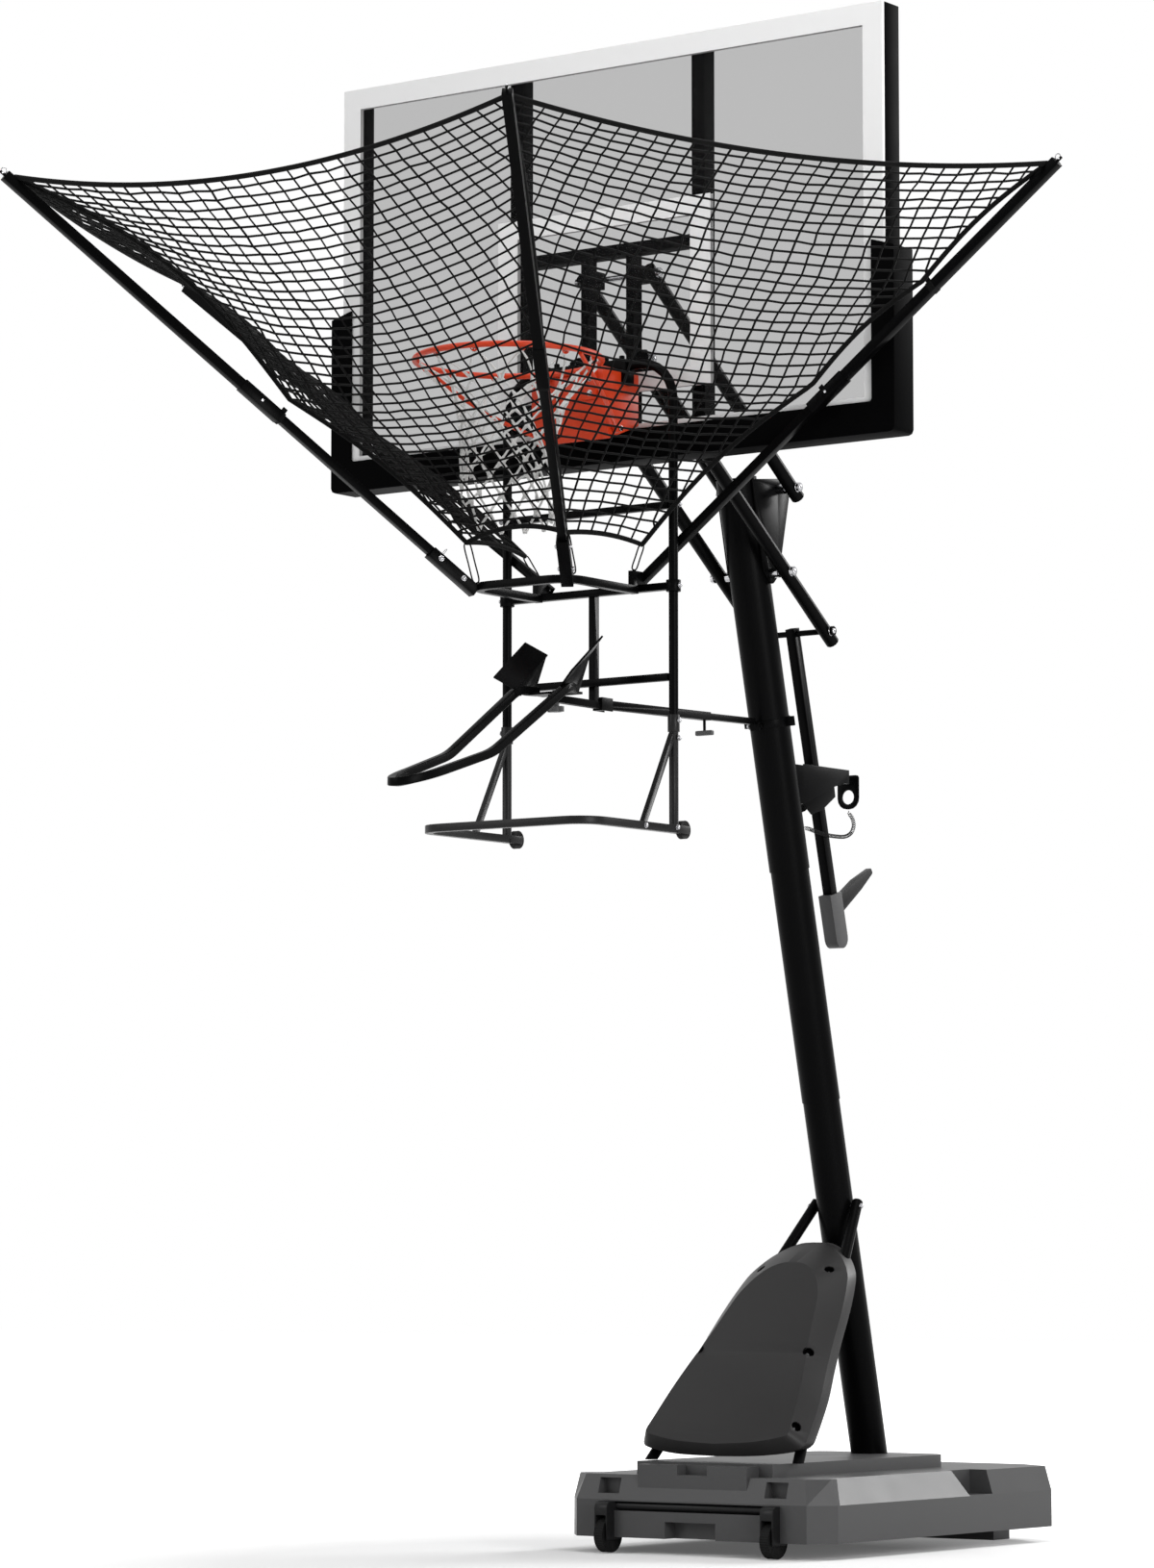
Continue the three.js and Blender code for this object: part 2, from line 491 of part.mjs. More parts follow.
const plateOutline = rounded([
  [headPlate.frontY, headPlate.topFrontZ], [pivot.lowerRearY - headPlate.bottomReach, pivot.lowerRearZ],
  [pivot.lowerRearY, pivot.lowerRearZ - headPlate.bottomReach, headPlate.bottomReach / 2],
  [pivot.lowerRearY + headPlate.bottomReach, pivot.lowerRearZ],
  [headPlate.rearY, headPlate.rearZ], [headPlate.topRearY, headPlate.topRearZ],
], headPlate.cornerSteps);
const plateInner = pole.upperRadius + gap;
const plateOuter = plateInner + headPlate.thickness;
const pivotBore = (y, z) => barX(-base.halfWidth, base.halfWidth, y, z, pivot.radius + runGap, pivot.sides);
sides.forEach(([name, side]) => {
  const reach = [side * plateInner, side * plateOuter].sort((a, b) => a - b);
  const plate = plateX(plateOutline, ...reach);
  const bores = [pivotBore(pivot.lowerRearY, pivot.lowerRearZ), pivotBore(upperRearY, upperRearZ)];
  add(machine, `head_plate_${name}`, cut(plate, ...bores), blackSteel);
});

// A through bolt with a head outside each arm and a collar from the carrier to the arm
const armInner = arm.centreX - arm.radius;
const armOuter = arm.centreX + arm.radius;
function pivotBolt(y, z, collarStart) {
  const headStart = armOuter + runGap;
  const pieces = sides.flatMap(([, side]) => [
    barX(side * headStart, side * (headStart + pivot.headLength), y, z, pivot.head, 8),
    ...(collarStart ? [barX(side * collarStart, side * (armInner - runGap), y, z, pivot.collar, pivot.sides)] : []),
  ]);
  return join(barX(-headStart, headStart, y, z, pivot.radius, pivot.sides), ...pieces);
}
add(machine, 'lower_rear_bolt', pivotBolt(pivot.lowerRearY, pivot.lowerRearZ, plateOuter + gap), chrome);
add(machine, 'upper_rear_bolt', pivotBolt(upperRearY, upperRearZ, plateOuter + gap), chrome);
add(machine, 'lower_front_bolt', pivotBolt(pivot.lowerFrontY, pivot.lowerFrontZ), chrome);
add(machine, 'upper_front_bolt', pivotBolt(upperFrontY, upperFrontZ), chrome);

// Lift arms
const armLine = point(0, pivot.lowerRearY - pivot.lowerFrontY, pivot.lowerRearZ - pivot.lowerFrontZ);
const armLength = armLine.length();
const armDirection = armLine.clone().normalize();
const alongArm = (side, y, z, distance) => point(side * arm.centreX, y, z).addScaledVector(armDirection, distance);

function armTube(side, y, z, end, holes) {
  const route = [alongArm(side, y, z, -arm.tip), alongArm(side, y, z, end)];
  const tubePiece = sweep(route, ringOf(arm.radius, arm.sides), ringOf(arm.radius - arm.wall, arm.sides));
  const bores = holes.map((distance) => {
    const place = alongArm(side, y, z, distance);
    return barX(place.x - arm.radius * 2, place.x + arm.radius * 2, place.y, place.z, arm.bore, pivot.sides);
  });
  return cut(tubePiece, ...bores);
}

const crossPlace = alongArm(0, pivot.lowerFrontY, pivot.lowerFrontZ, armLength + arm.tail);
sides.forEach(([name, side]) => {
  const lowerArm = armTube(side, pivot.lowerFrontY, pivot.lowerFrontZ, armLength + arm.tail + arm.tailEnd,
    [0, armLength, armLength + arm.tail]);
  add(machine, `lower_arm_${name}`, lowerArm, blackSteel);
});
sides.forEach(([name, side]) => {
  const upperArm = armTube(side, upperFrontY, upperFrontZ, armLength + arm.tip * 2, [0, armLength]);
  add(machine, `upper_arm_${name}`, upperArm, blackSteel);
});
add(machine, 'lift_cross_bolt', pivotBolt(crossPlace.y, crossPlace.z), chrome);

// Lift rod, handle and trigger: Z runs up the rod from the cross bolt
const liftGroup = new THREE.Group();
liftGroup.position.copy(crossPlace);
liftGroup.position.x = 0;
liftGroup.rotation.x = radians(pole.lean + 0.75);
machine.add(liftGroup);

function liftRod() {
  const bottom = -rod.length + rod.topReach;
  const route = [point(0, 0, bottom), point(0, 0, rod.topReach)];
  const body = sweep(route, squareOf(rod.half), squareOf(rod.half - rod.wall));
  const holes = Array.from({ length: rod.holes }, (_, index) => {
    const z = -rod.holeStart - index * rod.holePitch;
    return barY(0, rod.half / 2, rod.half * 2, z, rod.hole, 8);
  });
  return cut(body, barX(-rod.half * 2, rod.half * 2, 0, 0, pivot.radius + runGap, pivot.sides), ...holes);
}
add(liftGroup, 'lift_rod', liftRod(), blackSteel);

const handlePivotY = handle.rear - trigger.hub;
const handlePin = (radius) => barX(-handle.halfWidth, handle.halfWidth, handlePivotY, -handle.pivotDrop, radius, 12);
function liftHandle() {
  const body = plateX(rounded([
    [-handle.front, -handle.top], [-handle.front, -handle.bottom, handle.rear], [handle.rear, -handle.bottom, handle.rear],
    [handle.rear, -handle.top],
  ], 4), -handle.halfWidth, handle.halfWidth);
  const rodSpace = block(-rod.half - gap, rod.half + gap, -rod.half - gap, rod.half + gap,
    -rod.length + rod.topReach - gap, -handle.top + overrun);
  const slotTop = -handle.pivotDrop - handle.slotDepth;
  const slot = block(-handle.slotHalf, handle.slotHalf, rod.half + gap, handle.rear + overrun, slotTop, -handle.top + overrun);
  return join(cut(body, rodSpace, slot), handlePin(trigger.pin));
}
add(liftGroup, 'lift_handle', liftHandle(), darkPlastic);

function liftTrigger() {
  const { hub, reach, rise, tipHeight, rootHeight } = trigger;
  const lever = plateX(rounded([
    [-hub, -hub], [hub, -rootHeight / 2], [reach * 2 / 3, rise / 2],
    [reach, rise, tipHeight / 3], [reach - tipHeight / 3, rise + tipHeight, tipHeight / 3],
    [reach / 2, rise], [hub * 2, rootHeight],
    [-hub, rootHeight],
  ], 3), -trigger.halfWidth, trigger.halfWidth);
  const bore = barX(-handle.halfWidth, handle.halfWidth, 0, 0, trigger.pin + runGap, 12);
  return cut(lever, bore);
}
add(liftGroup, 'lift_trigger', liftTrigger(), darkPlastic, [0, handlePivotY, -handle.pivotDrop]);

// Guide bracket on the pole with the lock pin
function liftGuide() {
  const { inner, wall, top, rearTip, frontY, bottomZ, bridge, bridgeHeight } = guide;
  const height = top - bottomZ;
  const length = rearTip - frontY;
  const outlineShares = [[0.1, 1], [1, 1], [1, 0.76], [0.7, 0.62], [0.72, 0.42], [0.46, 0.12], [0.25, 0], [0.1, 0.18], [0, 0.5]];
  const outline = outlineShares.map(([along, up]) => [frontY + along * length, bottomZ + up * height]);
  const cheeks = sides.map(([, side]) => plateX(outline, ...[side * inner, side * (inner + wall)].sort((a, b) => a - b)));
  const rear = block(-inner - wall, inner + wall, rearTip - bridge, rearTip, top - bridgeHeight - wall, top);
  const frontPlate = block(-inner - wall, inner + wall, frontY - bridge, frontY + bridge, bottomZ + bridge, top - wall);
  const poleSpace = bar(point(0, poleAxisY(0), 0), point(0, poleAxisY(rimHeight), rimHeight), pole.upperRadius + gap,
    pole.sides);
  const pinBore = barY(0, rearTip - bridge * 2, rearTip + bridge, lock.pinZ, lock.radius + runGap, 16);
  return cut(join(...cheeks, rear, frontPlate), poleSpace, pinBore);
}
add(machine, 'lift_guide', liftGuide(), blackSteel);

// The rod's rear face at the pin, and the room behind it in which the rod sways as it is lifted
const rodTilt = Math.tan(liftGroup.rotation.x);
const rodRearAtPin = crossPlace.y + (crossPlace.z - lock.pinZ) * rodTilt + rod.half / Math.cos(liftGroup.rotation.x);
const pinTipY = rodRearAtPin + lock.clear;
add(machine, 'lock_pin', join(
  barY(0, pinTipY, lock.rearY - gap, lock.pinZ, lock.radius, 16),
  barY(0, guide.rearTip - guide.bridge - lock.collarLength - lock.travel, guide.rearTip - guide.bridge - lock.travel - gap,
    lock.pinZ, lock.collar, 16),
), chrome);

function lockPlate() {
  const { plateHalfWidth, plateTop, plateBottom, pinZ, rearY, plateThickness, hole } = lock;
  const outline = rounded([
    [-plateHalfWidth, pinZ - plateBottom, plateHalfWidth * 0.9], [plateHalfWidth, pinZ - plateBottom, plateHalfWidth * 0.9],
    [plateHalfWidth, pinZ + plateTop, plateTop / 2], [-plateHalfWidth, pinZ + plateTop, plateTop / 2],
  ], 4);
  const plate = plateY(outline, rearY, rearY + plateThickness);
  const grip = barY(0, rearY - overrun, rearY + plateThickness + overrun, pinZ - plateBottom / 2 - plateTop / 3, hole, 16);
  return cut(plate, grip);
}
add(machine, 'lock_plate', lockPlate(), blackSteel);

// Coiled tether of the lock pin
function tetherCord() {
  const curve = new THREE.CatmullRomCurve3(tetherRoute.map((place) => point(...place)), false, 'centripetal');
  const count = tether.curls * tether.stepsPerCurl;
  const { normals, binormals } = curve.computeFrenetFrames(count, false);
  const radius = tether.coil / 2;
  const turns = Array.from({ length: count + 1 }, (_, index) => {
    const angle = 2 * Math.PI * index / tether.stepsPerCurl;
    return curve.getPointAt(index / count)
      .addScaledVector(normals[index], radius * Math.cos(angle))
      .addScaledVector(binormals[index], radius * Math.sin(angle));
  });
  let least = Infinity;
  turns.forEach((here, index) => turns.slice(index + tether.stepsPerCurl / 2 + 1)
    .forEach((other) => { least = Math.min(least, here.distanceTo(other)); }));
  console.log(`least gap between the tether's curls: ${(least - tether.cord).toFixed(2)} mm`);
  const start = curve.getPointAt(0);
  const lead = curve.getTangentAt(0).multiplyScalar(-tether.cord);
  const end = curve.getPointAt(1);
  const tail = curve.getTangentAt(1).multiplyScalar(tether.cord);
  const route = [start.clone().addScaledVector(lead, 1), ...turns.slice(2, -2), end.clone().add(tail)];
  return sweep(route, ringOf(tether.cord / 2, tether.sides));
}
add(machine, 'lock_tether', tetherCord(), blackRubber);

// Board
const { glass, depth: boardDepth } = board;
add(machine, 'board_glass', block(-board.halfWidth, board.halfWidth, 0, glass, board.bottom, board.top), clear);

function boardFrame() {
  const { halfWidth, bottom, top, rail, railTop, stileX, stileHalf, bracketX, bracketHalf } = board;
  const front = glass + gap;
  const outside = block(-halfWidth, halfWidth, front, boardDepth, bottom, top);
  const inside = block(-halfWidth + rail, halfWidth - rail, front - overrun, boardDepth + overrun, bottom + rail, top - railTop);
  const members = sides.flatMap(([, side]) => [
    block(side * stileX - stileHalf, side * stileX + stileHalf, board.stileFront, board.stileRear, bottom + rail / 2,
      top - railTop / 2),
    block(side * bracketX - bracketHalf, side * bracketX + bracketHalf, board.bracketFront, board.bracketRear,
      bottom + rail / 2, board.barBottom + overrun),
    block(side * bracketX - bracketHalf, side * bracketX + bracketHalf, board.bracketFront, upperFrontY + board.lug,
      upperFrontZ - board.lug, upperFrontZ + board.lug),
  ]);
  const crossBar = block(-stileX, stileX, board.stileFront, board.stileRear, board.barBottom, board.barTop);
  const body = join(cut(outside, inside), crossBar, ...members);
  return cut(body, pivotBore(pivot.lowerFrontY, pivot.lowerFrontZ), pivotBore(upperFrontY, upperFrontZ));
}
add(machine, 'board_frame', boardFrame(), blackSteel);

function edgePad() {
  const { halfWidth, front, rear, bottom, lipTop, lipInner, innerTop, outerTop, corner } = pad;
  const half = [[halfWidth, bottom, corner], [halfWidth, outerTop], [lipInner, innerTop], [lipInner, lipTop, corner / 2]];
  const outline = rounded(mirrored(half), pad.cornerSteps);
  const space = block(-board.halfWidth - gap, board.halfWidth + gap, -gap, boardDepth + gap, board.bottom - gap, board.top);
  return cut(plateY(outline, front, rear), space);
}
add(machine, 'edge_pad', edgePad(), blackRubber);

// Rim
const rimCentreZ = rimHeight - rim.rod;
const pinBoreX = (radius, reach) => barX(-reach, reach, housing.pinY, housing.pinZ, radius, 12);
function rimHousing() {
  const { halfWidth, top, front, frontBottom, lowFront, low, rearLow, wall } = housing;
  const profile = (inset) => [
    [-gap, top - inset], [-front + inset, top - inset], [-front + inset, frontBottom],
    [-lowFront + inset, low + (inset ? -overrun : 0)], [-gap, rearLow + (inset ? -overrun * 8 : 0)],
  ];
  const outer = plateX(profile(0), -halfWidth, halfWidth);
  const inner = plateX(profile(wall).map(([y, z]) => [Math.min(y, -wall), z]), -halfWidth + wall, halfWidth - wall);
  const padSpace = block(-halfWidth - overrun, halfWidth + overrun, -housing.padClearance, overrun, low - overrun * 8, rearLow);
  return cut(cut(outer, inner), padSpace, pinBoreX(housing.pinRadius + gap, halfWidth * 2));
}
add(machine, 'rim_housing', rimHousing(), orange);
add(machine, 'rim_hinge_pin', join(
  pinBoreX(housing.pinRadius, housing.pinReach),
  ...sides.map(([, side]) => barX(side * housing.pinReach, side * (housing.pinReach + housing.wall), housing.pinY,
    housing.pinZ, housing.pinHead, 8)),
), chrome);

function rimRing() {
  const ring = new THREE.TorusGeometry(rim.radius, rim.rod, rim.sides, rim.segments).translate(0, rim.centreY, rimCentreZ);
  const ringBack = rim.centreY + rim.radius;
  const tongueFront = -housing.front - rim.tongue * 2 - gap;
  const tongue = block(-rim.tongueHalf, rim.tongueHalf, tongueFront, -housing.front - gap * 2, rim.tongueBottom, rimHeight - rim.rod / 2);
  const shoulder = block(-rim.tongueHalf / 2, rim.tongueHalf / 2, Math.min(ringBack, tongueFront) - rim.rod / 2,
    tongueFront + rim.tongue / 2, rimCentreZ - rim.rod / 2, rimCentreZ + rim.rod / 2);
  const eyeX = (housing.halfWidth + housing.pinReach) / 2 - gap;
  const braces = sides.map(([, side]) => {
    const start = point(side * rim.radius * Math.cos(rim.braceStartShare), rim.centreY - rim.radius * rim.braceStartShare,
      rimCentreZ - rim.rod);
    const end = point(side * eyeX, housing.pinY, housing.pinZ);
    const bend = point(side * eyeX * rim.braceBendShare, (start.y + end.y) / 2, (start.z + end.z * 2) / 3);
    const curve = new THREE.QuadraticBezierCurve3(start, bend, end);
    return sweep(curve.getPoints(6), ringOf(rim.braceRod, 8));
  });
  const eyeHalf = (housing.pinReach - housing.halfWidth) / 2 - gap * 2;
  const eyes = sides.map(([, side]) => barX(side * eyeX - eyeHalf, side * eyeX + eyeHalf, housing.pinY, housing.pinZ,
    housing.pinHead + housing.wall, 12));
  const hooks = Array.from({ length: rim.hooks }, (_, index) => {
    const angle = Math.PI / rim.hooks + 2 * Math.PI * index / rim.hooks;
    const reach = rim.radius - rim.rod - rim.hookRadius / 2;
    const x = reach * Math.cos(angle);
    const y = rim.centreY + reach * Math.sin(angle);
    return barZ(x, y, rimCentreZ - rim.rod - rim.hookDrop, rimCentreZ, rim.hookRadius, 4);
  });
  return cut(join(ring, tongue, shoulder, ...braces, ...eyes, ...hooks), pinBoreX(housing.pinRadius + gap, housing.pinReach * 2));
}
add(machine, 'rim_ring', rimRing(), orange);

// Hoop net of diamond cells, narrow at the foot
function hoopNet() {
  const { columns, rows, topRadius, midRadius, bottomRadius, bottom, strand, thickness } = hoop;
  const top = rimCentreZ - rim.rod - rim.hookDrop - gap;
  const levels = rows * 2;
  const radiusAt = (share) => {
    const neck = THREE.MathUtils.lerp(topRadius, midRadius, Math.sin(share * Math.PI / 2));
    return THREE.MathUtils.lerp(neck, bottomRadius, share * share);
  };
  // In front, the foot of the net lies back on the slope of the front panel.
  const slope = (netPole.tipZ - net.hemZ) / (net.hemFront - netPole.tipY);
  const footAt = (y) => Math.max(bottom, net.hemZ + (net.hemFront - y) * slope + hoop.rest);
  const corner = (column, level) => {
    const share = level / levels;
    const angle = Math.PI * column / columns;
    const outward = point(Math.cos(angle), Math.sin(angle), 0);
    const radius = radiusAt(share);
    const y = rim.centreY + radius * outward.y;
    return { place: point(radius * outward.x, y, top - share * (top - footAt(y))), normal: outward };
  };
  const cells = [];
  for (let level = 0; level <= levels; level += 1) {
    for (let column = level % 2; column < columns * 2; column += 2) {
      const west = (column + columns * 2 - 1) % (columns * 2);
      const east = (column + 1) % (columns * 2);
      const corners = [];
      if (level > 0) corners.push(corner(column, level - 1));
      corners.push(corner(west, level));
      if (level < levels) corners.push(corner(column, level + 1));
      corners.push(corner(east, level));
      const open = corners.map((_, k) => (level === 0 && k === 2) || (level === levels && k === 1));
      cells.push({ corners, widths: corners.map(() => strand / 2), free: open });
    }
  }
  return openSheet(cells, thickness);
}
add(machine, 'hoop_net', hoopNet(), whiteCord);

// Hook uprights over the rim housing
const hookZ = housing.top + tube.radius + gap;
function hookUpright(side) {
  const { legX, legY, bend, endX, bottom, bendSteps } = hook;
  const route = [point(side * legX, legY, bottom)];
  for (let step = 0; step <= bendSteps; step += 1) {
    const angle = Math.PI / 2 * step / bendSteps;
    route.push(point(side * (legX - bend + bend * Math.cos(angle)), legY, hookZ - bend + bend * Math.sin(angle)));
  }
  route.push(point(side * endX, legY, hookZ));
  return sweep(route, ringOf(tube.radius, tube.sides), ringOf(tube.radius - tube.wall, tube.sides));
}

function hookClamp(side) {
  const { inner, outer, halfDepth, rise, lip, knobRadius, knobHeight, knobInsetShare } = clamp;
  const reach = [side * inner, side * outer].sort((a, b) => a - b);
  const top = hookZ + rise;
  const body = block(...reach, hook.legY - halfDepth, hook.legY + halfDepth, housing.top + gap, top);
  const lipX = [side * (housing.halfWidth + gap), side * outer].sort((a, b) => a - b);
  const lipPiece = block(...lipX, hook.legY - halfDepth, hook.legY + halfDepth, housing.top - lip, top);
  const span = outer - inner;
  const knobs = [knobInsetShare, 1 - knobInsetShare].map((share) => {
    const x = side * (inner + share * span);
    return barZ(x, hook.legY, top - overrun, top + knobHeight, knobRadius, 8);
  });
  const boreRadius = (tube.radius + gap) / Math.cos(Math.PI / tube.sides);
  const bore = barX(side * (hook.endX - gap), side * outer * 2, hook.legY, hookZ, boreRadius, tube.sides);
  return cut(join(body, lipPiece, ...knobs), bore);
}
sides.forEach(([name, side]) => {
  add(machine, `hook_upright_${name}`, hookUpright(side), blackSteel);
  add(machine, `hook_clamp_${name}`, hookClamp(side), blackSteel);
});

// Cross bars between the uprights
const barReach = hook.legX - tube.radius - gap;
const crossBarAt = (z) => block(-barReach, barReach, hook.legY - tube.bar, hook.legY + tube.bar, z - tube.bar, z + tube.bar);
add(machine, 'upper_crossbar', crossBarAt(frame.upperBarZ), blackSteel);
add(machine, 'mid_crossbar', crossBarAt(frame.midBarZ), blackSteel);

function netCrossbar() {
  const collars = sides.map(([, side]) => barZ(side * hook.legX, hook.legY, frame.netBarZ - frame.collarHalf,
    frame.netBarZ + frame.collarHalf, frame.collarRadius, 12));
  const holes = sides.map(([, side]) => barZ(side * hook.legX, hook.legY, frame.netBarZ - frame.collarHalf * 2,
    frame.netBarZ + frame.collarHalf * 2, tube.radius + gap, tube.sides));
  const beam = block(-hook.legX, hook.legX, hook.legY - tube.bar, hook.legY + tube.bar, frame.netBarZ - tube.bar,
    frame.netBarZ + tube.bar);
  const post = block(-tube.bar, tube.bar, hook.legY + tube.bar + gap * 2, frame.postY + tube.bar + gap,
    frame.centreBarZ - tube.bar, frame.netBarZ + tube.bar);
  const weld = block(-tube.bar, tube.bar, hook.legY, frame.postY, frame.netBarZ - tube.bar, frame.netBarZ + tube.bar);
  const centre = block(-tube.bar, tube.bar, frame.barFront, frame.barRear, frame.centreBarZ - tube.bar,
    frame.centreBarZ + tube.bar);
  const forkStart = frame.barRear - frame.forkLength / 2;
  const fork = block(-frame.forkHalf, frame.forkHalf, forkStart, frame.barRear + frame.forkLength, strap.pivotZ - frame.forkHalfHeight,
    strap.pivotZ + frame.forkHalfHeight);
  const forkSpace = block(-frame.forkInner, frame.forkInner, frame.barRear, frame.barRear + frame.forkLength * 2,
    strap.pivotZ - frame.forkHalfHeight * 2, strap.pivotZ + frame.forkHalfHeight * 2);
  const pin = barX(-frame.forkHalf, frame.forkHalf, strap.pivotY, strap.pivotZ, strap.pin, 12);
  const knobBore = barZ(0, frame.chuteY, frame.centreBarZ - tube.bar * 2, frame.centreBarZ + tube.bar * 2,
    knob.shaft + runGap, 12);
  return join(cut(join(beam, ...collars, post, weld, centre, cut(fork, forkSpace)), ...holes, knobBore), pin);
}
add(machine, 'net_crossbar', netCrossbar(), blackSteel);

// Front pole frame: Z runs along the pole, X stays level
function alongPole(start, tip) {
  const group = new THREE.Group();
  group.position.copy(start);
  const along = tip.clone().sub(start).normalize();
  const level = point(0, 0, 1).cross(along).normalize();
  group.quaternion.setFromRotationMatrix(new THREE.Matrix4().makeBasis(level, along.clone().cross(level), along));
  group.updateMatrix();
  machine.add(group);
  return { group, length: start.distanceTo(tip), up: along.clone().cross(level), along, tip };
}

const frontPoles = Object.fromEntries(sides.map(([name, side]) => [name, alongPole(
  point(side * netBase.halfWidth, netBase.front, netBase.frontZ), point(side * netPole.tipX, netPole.tipY, netPole.tipZ))]));
const rearPoles = Object.fromEntries(sides.map(([name, side]) => [name, alongPole(
  point(side * netBase.halfWidth, netPole.rearY, netPole.rearStartZ), point(side * netPole.rearTipX, netPole.rearY, netPole.rearTipZ))]));

function netPoleGeometry(length, start) {
  const step = netPole.stepShare * length;
  const lowerPart = sweep([point(0, 0, start), point(0, 0, step)], squareOf(netPole.lower), squareOf(netPole.lower - netPole.wall));
  const upperPart = sweep([point(0, 0, step), point(0, 0, length)], squareOf(netPole.upper), squareOf(netPole.lower - netPole.wall));
  const [collarStart, collarEnd] = netPole.collarShares.map((share) => share * length);
  const collar = cut(block(-netPole.collar, netPole.collar, -netPole.collar, netPole.collar, collarStart, collarEnd),
    block(-netPole.lower, netPole.lower, -netPole.lower, netPole.lower, collarStart - overrun, collarEnd + overrun));
  const cap = block(-netPole.upper, netPole.upper, -netPole.upper, netPole.upper, length - overrun, length);
  const eye = barZ(0, 0, length - overrun, length + netPole.tipLength, netPole.tip, 8);
  return join(lowerPart, upperPart, collar, cap, eye);
}

const socketHalf = netBase.socketHalf;
Object.entries(frontPoles).forEach(([name, { group, length }]) => {
  add(group, `net_pole_front_${name}`, netPoleGeometry(length, netPole.rearBack), blackSteel);
});
Object.entries(rearPoles).forEach(([name, { group, length }]) => {
  const bore = barY(0, -netPole.upper * 2, netPole.upper * 2, 0, netPole.pin + gap, 8);
  add(group, `net_pole_rear_${name}`, cut(netPoleGeometry(length, -netPole.rearBack), bore.rotateZ(Math.PI / 2)), blackSteel);
});

// Square base frame of the net, with a channel for each front pole and a bracket for each rear pole
function netBaseFrame() {
  const { halfWidth, front, bar: half, corner, cornerSteps, frontZ, bracketHalf, bracketTop } = netBase;
  const rearEnd = hook.legY - tube.bar - gap;
  const outline = rounded([
    [-halfWidth, rearEnd], [-halfWidth, front, corner], [halfWidth, front, corner], [halfWidth, rearEnd],
  ], cornerSteps);
  const loop = sweep(outline.map(([x, y]) => point(x, y, frontZ)), squareOf(half));
  const brackets = sides.map(([, side]) => block(side * halfWidth - bracketHalf, side * halfWidth + bracketHalf,
    rearEnd - half * 2, netPole.rearY - netPole.lower - gap, frame.netBarZ + tube.bar + gap, bracketTop));
  const feet = sides.map(([, side]) => block(side * halfWidth - bracketHalf, side * halfWidth + bracketHalf,
    rearEnd - half * 2, rearEnd, frontZ, frame.netBarZ + tube.bar + half));
  const pins = sides.map(([, side]) => barY(side * halfWidth, rearEnd - half, netPole.rearY + netPole.lower * 2,
    netPole.rearStartZ, netPole.pin, 8));
  const sockets = Object.values(frontPoles).map(({ group }) => {
    const outer = block(-socketHalf, socketHalf, -netBase.socketDrop - netBase.socketWall, netBase.socketRise,
      netBase.socketStart, netBase.socketLength);
    const clear = netPole.lower + gap;
    const channel = block(-clear, clear, -clear, netBase.socketRise * 2, netPole.rearBack - gap, netBase.socketLength + overrun);
    return cut(outer, channel).applyMatrix4(group.matrix);
  });
  const poleSpace = Object.values(frontPoles).map(({ group }) => {
    const clear = netPole.lower + gap;
    return block(-clear, clear, -clear, clear, netPole.rearBack - gap, netBase.socketLength + overrun).applyMatrix4(group.matrix);
  });
  return cut(join(loop, ...brackets, ...feet, ...pins, ...sockets), ...poleSpace);
}
add(machine, 'net_base_frame', netBaseFrame(), blackSteel);

// Net panels
function netTip({ tip, up, along }, lift = net.lift) {
  return tip.clone().addScaledVector(up, lift).addScaledVector(along, -net.setback);
}

function netPanel(hemStart, hemEnd, topStart, topEnd, sag) {
  const { cells: count, thickness, strand, edge, belly } = net;
  const surface = (u, v) => {
    const hem = hemStart.clone().lerp(hemEnd, u);
    const top = topStart.clone().lerp(topEnd, u);
    top.z -= 4 * sag * u * (1 - u);
    const place = hem.lerp(top, v);
    place.z -= 16 * belly * u * (1 - u) * v * (1 - v);
    return place;
  };
  const nudge = 1 / (count * 8);
  const corner = (column, row) => {
    const u = column / count;
    const v = row / count;
    const across = surface(Math.min(u + nudge, 1), v).sub(surface(Math.max(u - nudge, 0), v));
    const upward = surface(u, Math.min(v + nudge, 1)).sub(surface(u, Math.max(v - nudge, 0)));
    return { place: surface(u, v), normal: across.cross(upward).normalize() };
  };
  const cells = [];
  for (let row = 0; row < count; row += 1) {
    for (let column = 0; column < count; column += 1) {
      const free = [row === 0, column === count - 1, row === count - 1, column === 0];
      cells.push({
        corners: [corner(column, row), corner(column + 1, row), corner(column + 1, row + 1), corner(column, row + 1)],
        widths: free.map((outside) => (outside ? edge : strand / 2)),
        free,
      });
    }
  }
  return openSheet(cells, thickness);
}

const seamShift = (from, toward, distance) => from.clone().addScaledVector(toward.clone().sub(from).normalize(), distance);
function panelBetween(hemStart, hemEnd, topStart, topEnd, sag, start, end) {
  return netPanel(seamShift(hemStart, hemEnd, start), seamShift(hemEnd, hemStart, end),
    seamShift(topStart, topEnd, start), seamShift(topEnd, topStart, end), sag);
}

const hemFront = (side) => point(side * net.hemHalf, net.hemFront, net.hemZ);
const hemRear = (side) => point(side * net.hemRearHalf, net.hemRear, net.hemZ);
add(machine, 'net_front_panel', panelBetween(hemFront(-1), hemFront(1), netTip(frontPoles.left, net.frontLift),
  netTip(frontPoles.right, net.frontLift), net.frontSag, net.seam, net.seam), blackCord);

